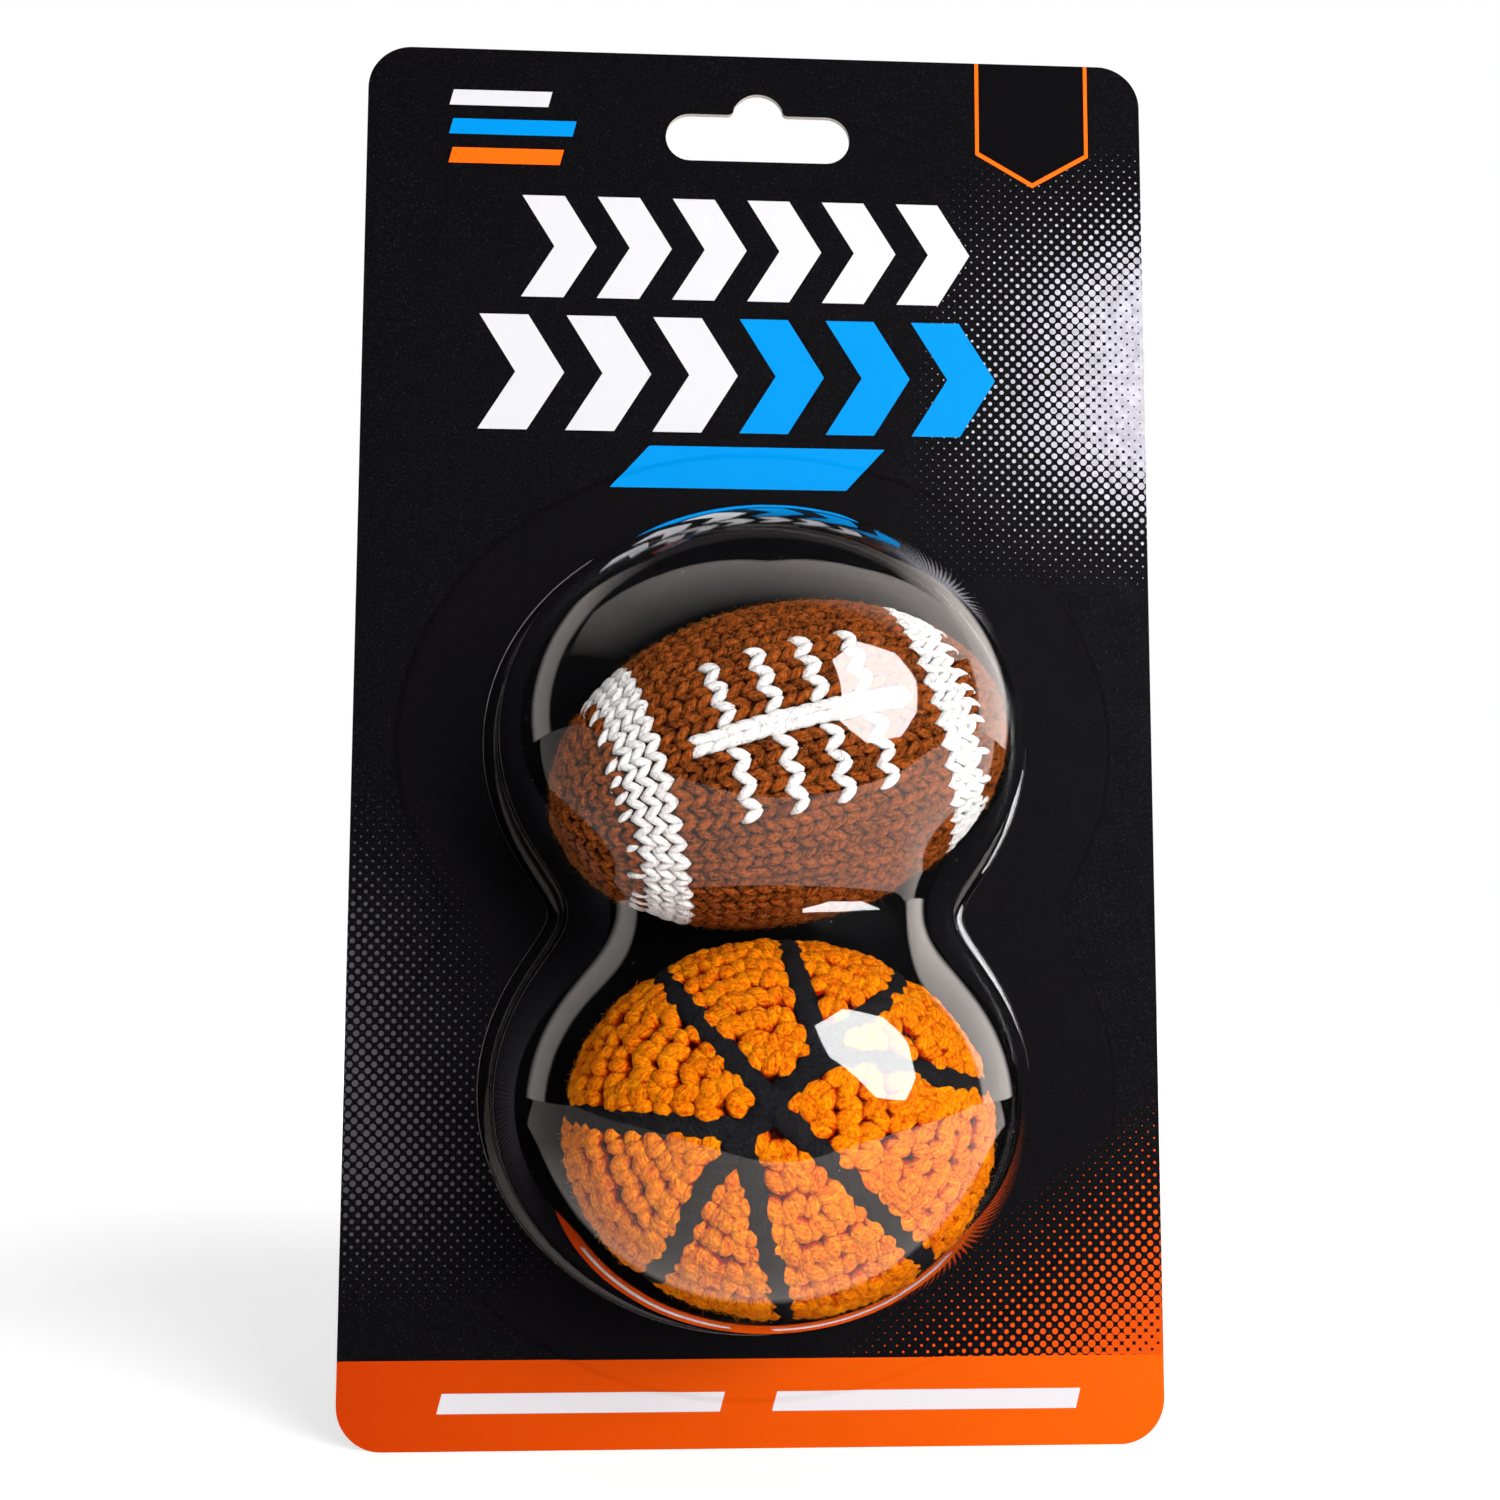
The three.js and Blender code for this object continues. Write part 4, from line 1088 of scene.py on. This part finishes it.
def make_world():
    """White to the eye; a dim studio, lighter behind, for everything else."""
    scene.world = bpy.data.worlds.new("studio")
    f = emptied(scene.world)
    rays, bent = rays_and_bent(f)
    across, deep, high = f.split(f.add("ShaderNodeTexCoord", output=0))
    behind = f.spread(f.math("MULTIPLY_ADD", across, 0.15, deep), 0.22, 0.26)
    far_end, overhead = f.spread(deep, 0.58, 0.64, 1.0, 0.0), f.spread(high, 0.6, 0.85, 1.0, 0.1)
    mirrored = f.times(behind, far_end, overhead, f.spread(across, 0.1, 1.0, 0.7, 2.4))
    level = f.add("ShaderNodeMix", {0: bent, 2: 0.4, 3: mirrored})
    level = f.math("MAXIMUM", level, rays["Is Camera Ray"])
    colour = f.mix(bent, (1, 1, 1, 1), WARM_WHITE)
    f.show(f.add("ShaderNodeBackground", {"Color": colour, "Strength": level}), "ShaderNodeOutputWorld")


SHEET_OUTLINE = (
    (-250, -190), (250, -190), (250, 10),
    (120, -12), (51, -60), (0, -78), (-63, -48), (-130, -5), (-250, 15),
)
FLAG_OUTLINE = ((-60, -70), (48, -70), (48, -52), (14, -54), (-14, -54), (-26, -50), (-34, -40), (-60, -40))
FLOOR_OUTLINE = [(x * 3000, y * 3000) for x, y in ((-1, -1), (1, -1), (1, 1), (-1, 1))]

scene.view_settings.view_transform = "Standard"
level_plane("floor", FLOOR_OUTLINE, CARD_BOTTOM, floor_finish())
make_world()
hung_sheet = level_plane("hung_sheet", SHEET_OUTLINE, 0, sheet_finish(), unseen=True)
black_flag = level_plane("black_flag", FLAG_OUTLINE, -132.5, flag_finish(), unseen=True)
for screen in (hung_sheet, black_flag):
    screen.visible_diffuse = screen.visible_shadow = False
make_softbox(27.7, 11, distance=0.75, width=0.43, height=0.35, lamp=24.0, mirrored=11.0)

# Dress the pack

orange_yarn = yarn("orange yarn", (255, 147, 2), (172, 29, 0), 20.0, 0.6, 0.0003, 1.3, 0.3, 0.8)
# The form under the crochet is painted dark orange: painted shade for the hollows between the stitches.
hollow_shade_core_yarn = yarn("orange yarn painted dark as shade in the hollows", (70, 14, 0), (36, 8, 0), 40.0, 0.0, 0.0003, 0.0)
brown_yarn = yarn("brown yarn", (168, 84, 28), (46, 15, 3), 20.0, 0.5, 0.0003, 0.5, 0.3)
white_yarn = yarn("white yarn", (252, 249, 246), (214, 208, 204), 20.0, 0.6, 0.0002, 0.6)
black_yarn = yarn("black yarn", (30, 29, 32), (6, 6, 7), 10.0, 10.0, 0.0004, 0.0)
lining = lining_cloth()


def dress_bag(bag, skin, material, slot, replaced, pouch_size):
    """The form under the stitches, and the pouch inside it that stands for lining and filling."""
    body = add_mesh(f"{bag}_body", skin.to_row(skin.points), skin.faces)
    place(body, bag, material, slot, *replaced)
    pouch = add_mesh(f"{bag}_pouch", skin.to_row(skin.points * pouch_size), skin.faces)
    place(pouch, bag, lining, "lining", f"{bag}_liner", f"{bag}_filling")


place(make_bubble(), "pack", clear_sheet(), "clear_sheet", "blister")
place(make_front_card(), "pack", printed_card(), "front_card", "front_card")
back_finish = plain_card()
for card_slot in nodes["back_card"].material_slots:
    card_slot.material = back_finish

BROWN_NODES = ("football_nose_left", "football_middle", "football_nose_right")
BAND_NODES = ("football_band_left", "football_band_right")
LACE_NODES = ("lace_bar", *[f"lace_{row}_{i}" for row in ("upper", "lower") for i in range(1, 5)])
football = football_skin()
parts = make_football_stitches(football)
# The football's form carries no height attribute, so the brown yarn's painted hollow shade darkens it in
# full where it shows between stitches.
dress_bag("football", football, brown_yarn, "brown_yarn", BROWN_NODES, 0.93)
for name, part, material, slot, replaced in (
    ("football_knit", "ground", brown_yarn, "brown_yarn", BROWN_NODES),
    ("football_bands", "bands", white_yarn, "white_yarn", BAND_NODES),
    ("football_laces", "laces", white_yarn, "white_yarn", LACE_NODES),
):
    stitched = lay_stitches(name, parts[part], material, 3.3, 1.75, 0.35, 0.42, 5)
    place(stitched, "football", None, slot, *replaced)
fuzz = grow_fibres("football_fuzz", football, brown_yarn,
                   lambda p: abs(p[0]) < BAND_FROM or abs(p[0]) > BAND_TO,
                   proud=1.0, per_mm2=1.2, length=0.75, seed=3)
place(fuzz, "football", None, "brown_yarn")
for side, label in ((-1, "left"), (1, "right")):
    axis, reach = (side, 0, 0), FOOTBALL_HALF_L - 0.4
    knot = make_knot(f"football_end_{label}", axis, reach, football_frame, FOOTBALL_TURN)
    place(knot, "football", brown_yarn, "brown_yarn", f"football_knot_{label}")

ball = ball_skin()
# The ball's form wears the dark orange yarn, as painted shade in the hollows between stitches.
dress_bag("basketball", ball, hollow_shade_core_yarn, "orange_yarn", ["basketball_cover"], 0.92)
crochet = lay_stitches("basketball_crochet", make_ball_stitches(ball), orange_yarn, 4.1, 2.9, 1.2, 0.45, 6)
place(crochet, "basketball", None, "orange_yarn", "basketball_cover")
for number, (join, leaves) in enumerate(SEAM_LINES, 1):
    ways = [seam_way(join, leaves, t) for t in np.linspace(0.02, math.pi - 0.02, 90)]
    line = make_black_line(f"black_line_{number}", ways, ball, 3.5)
    place(line, "basketball", black_yarn, "black_yarn", f"seam_line_{number}")
for side, label in ((-1, "front"), (1, "back")):
    ways = [crossing_way(s, side) for s in np.linspace(-0.12, 1.12, 40)]
    line = make_black_line(f"black_crossing_{label}", ways, ball, 3.9)
    place(line, "basketball", black_yarn, "black_yarn", f"seam_{label}_crossing")
fuzz = grow_fibres("basketball_fuzz", ball, orange_yarn, lambda p: seam_distance(on_ball(p)) > 3.2,
                   proud=1.3, per_mm2=1.1, length=0.8, seed=5)
place(fuzz, "basketball", None, "orange_yarn")
knot = make_knot("basketball_end", (1, 0, 0), BALL_HALF_W - 0.3, ball_frame, np.eye(3))
place(knot, "basketball", orange_yarn, "orange_yarn", "basketball_knot")
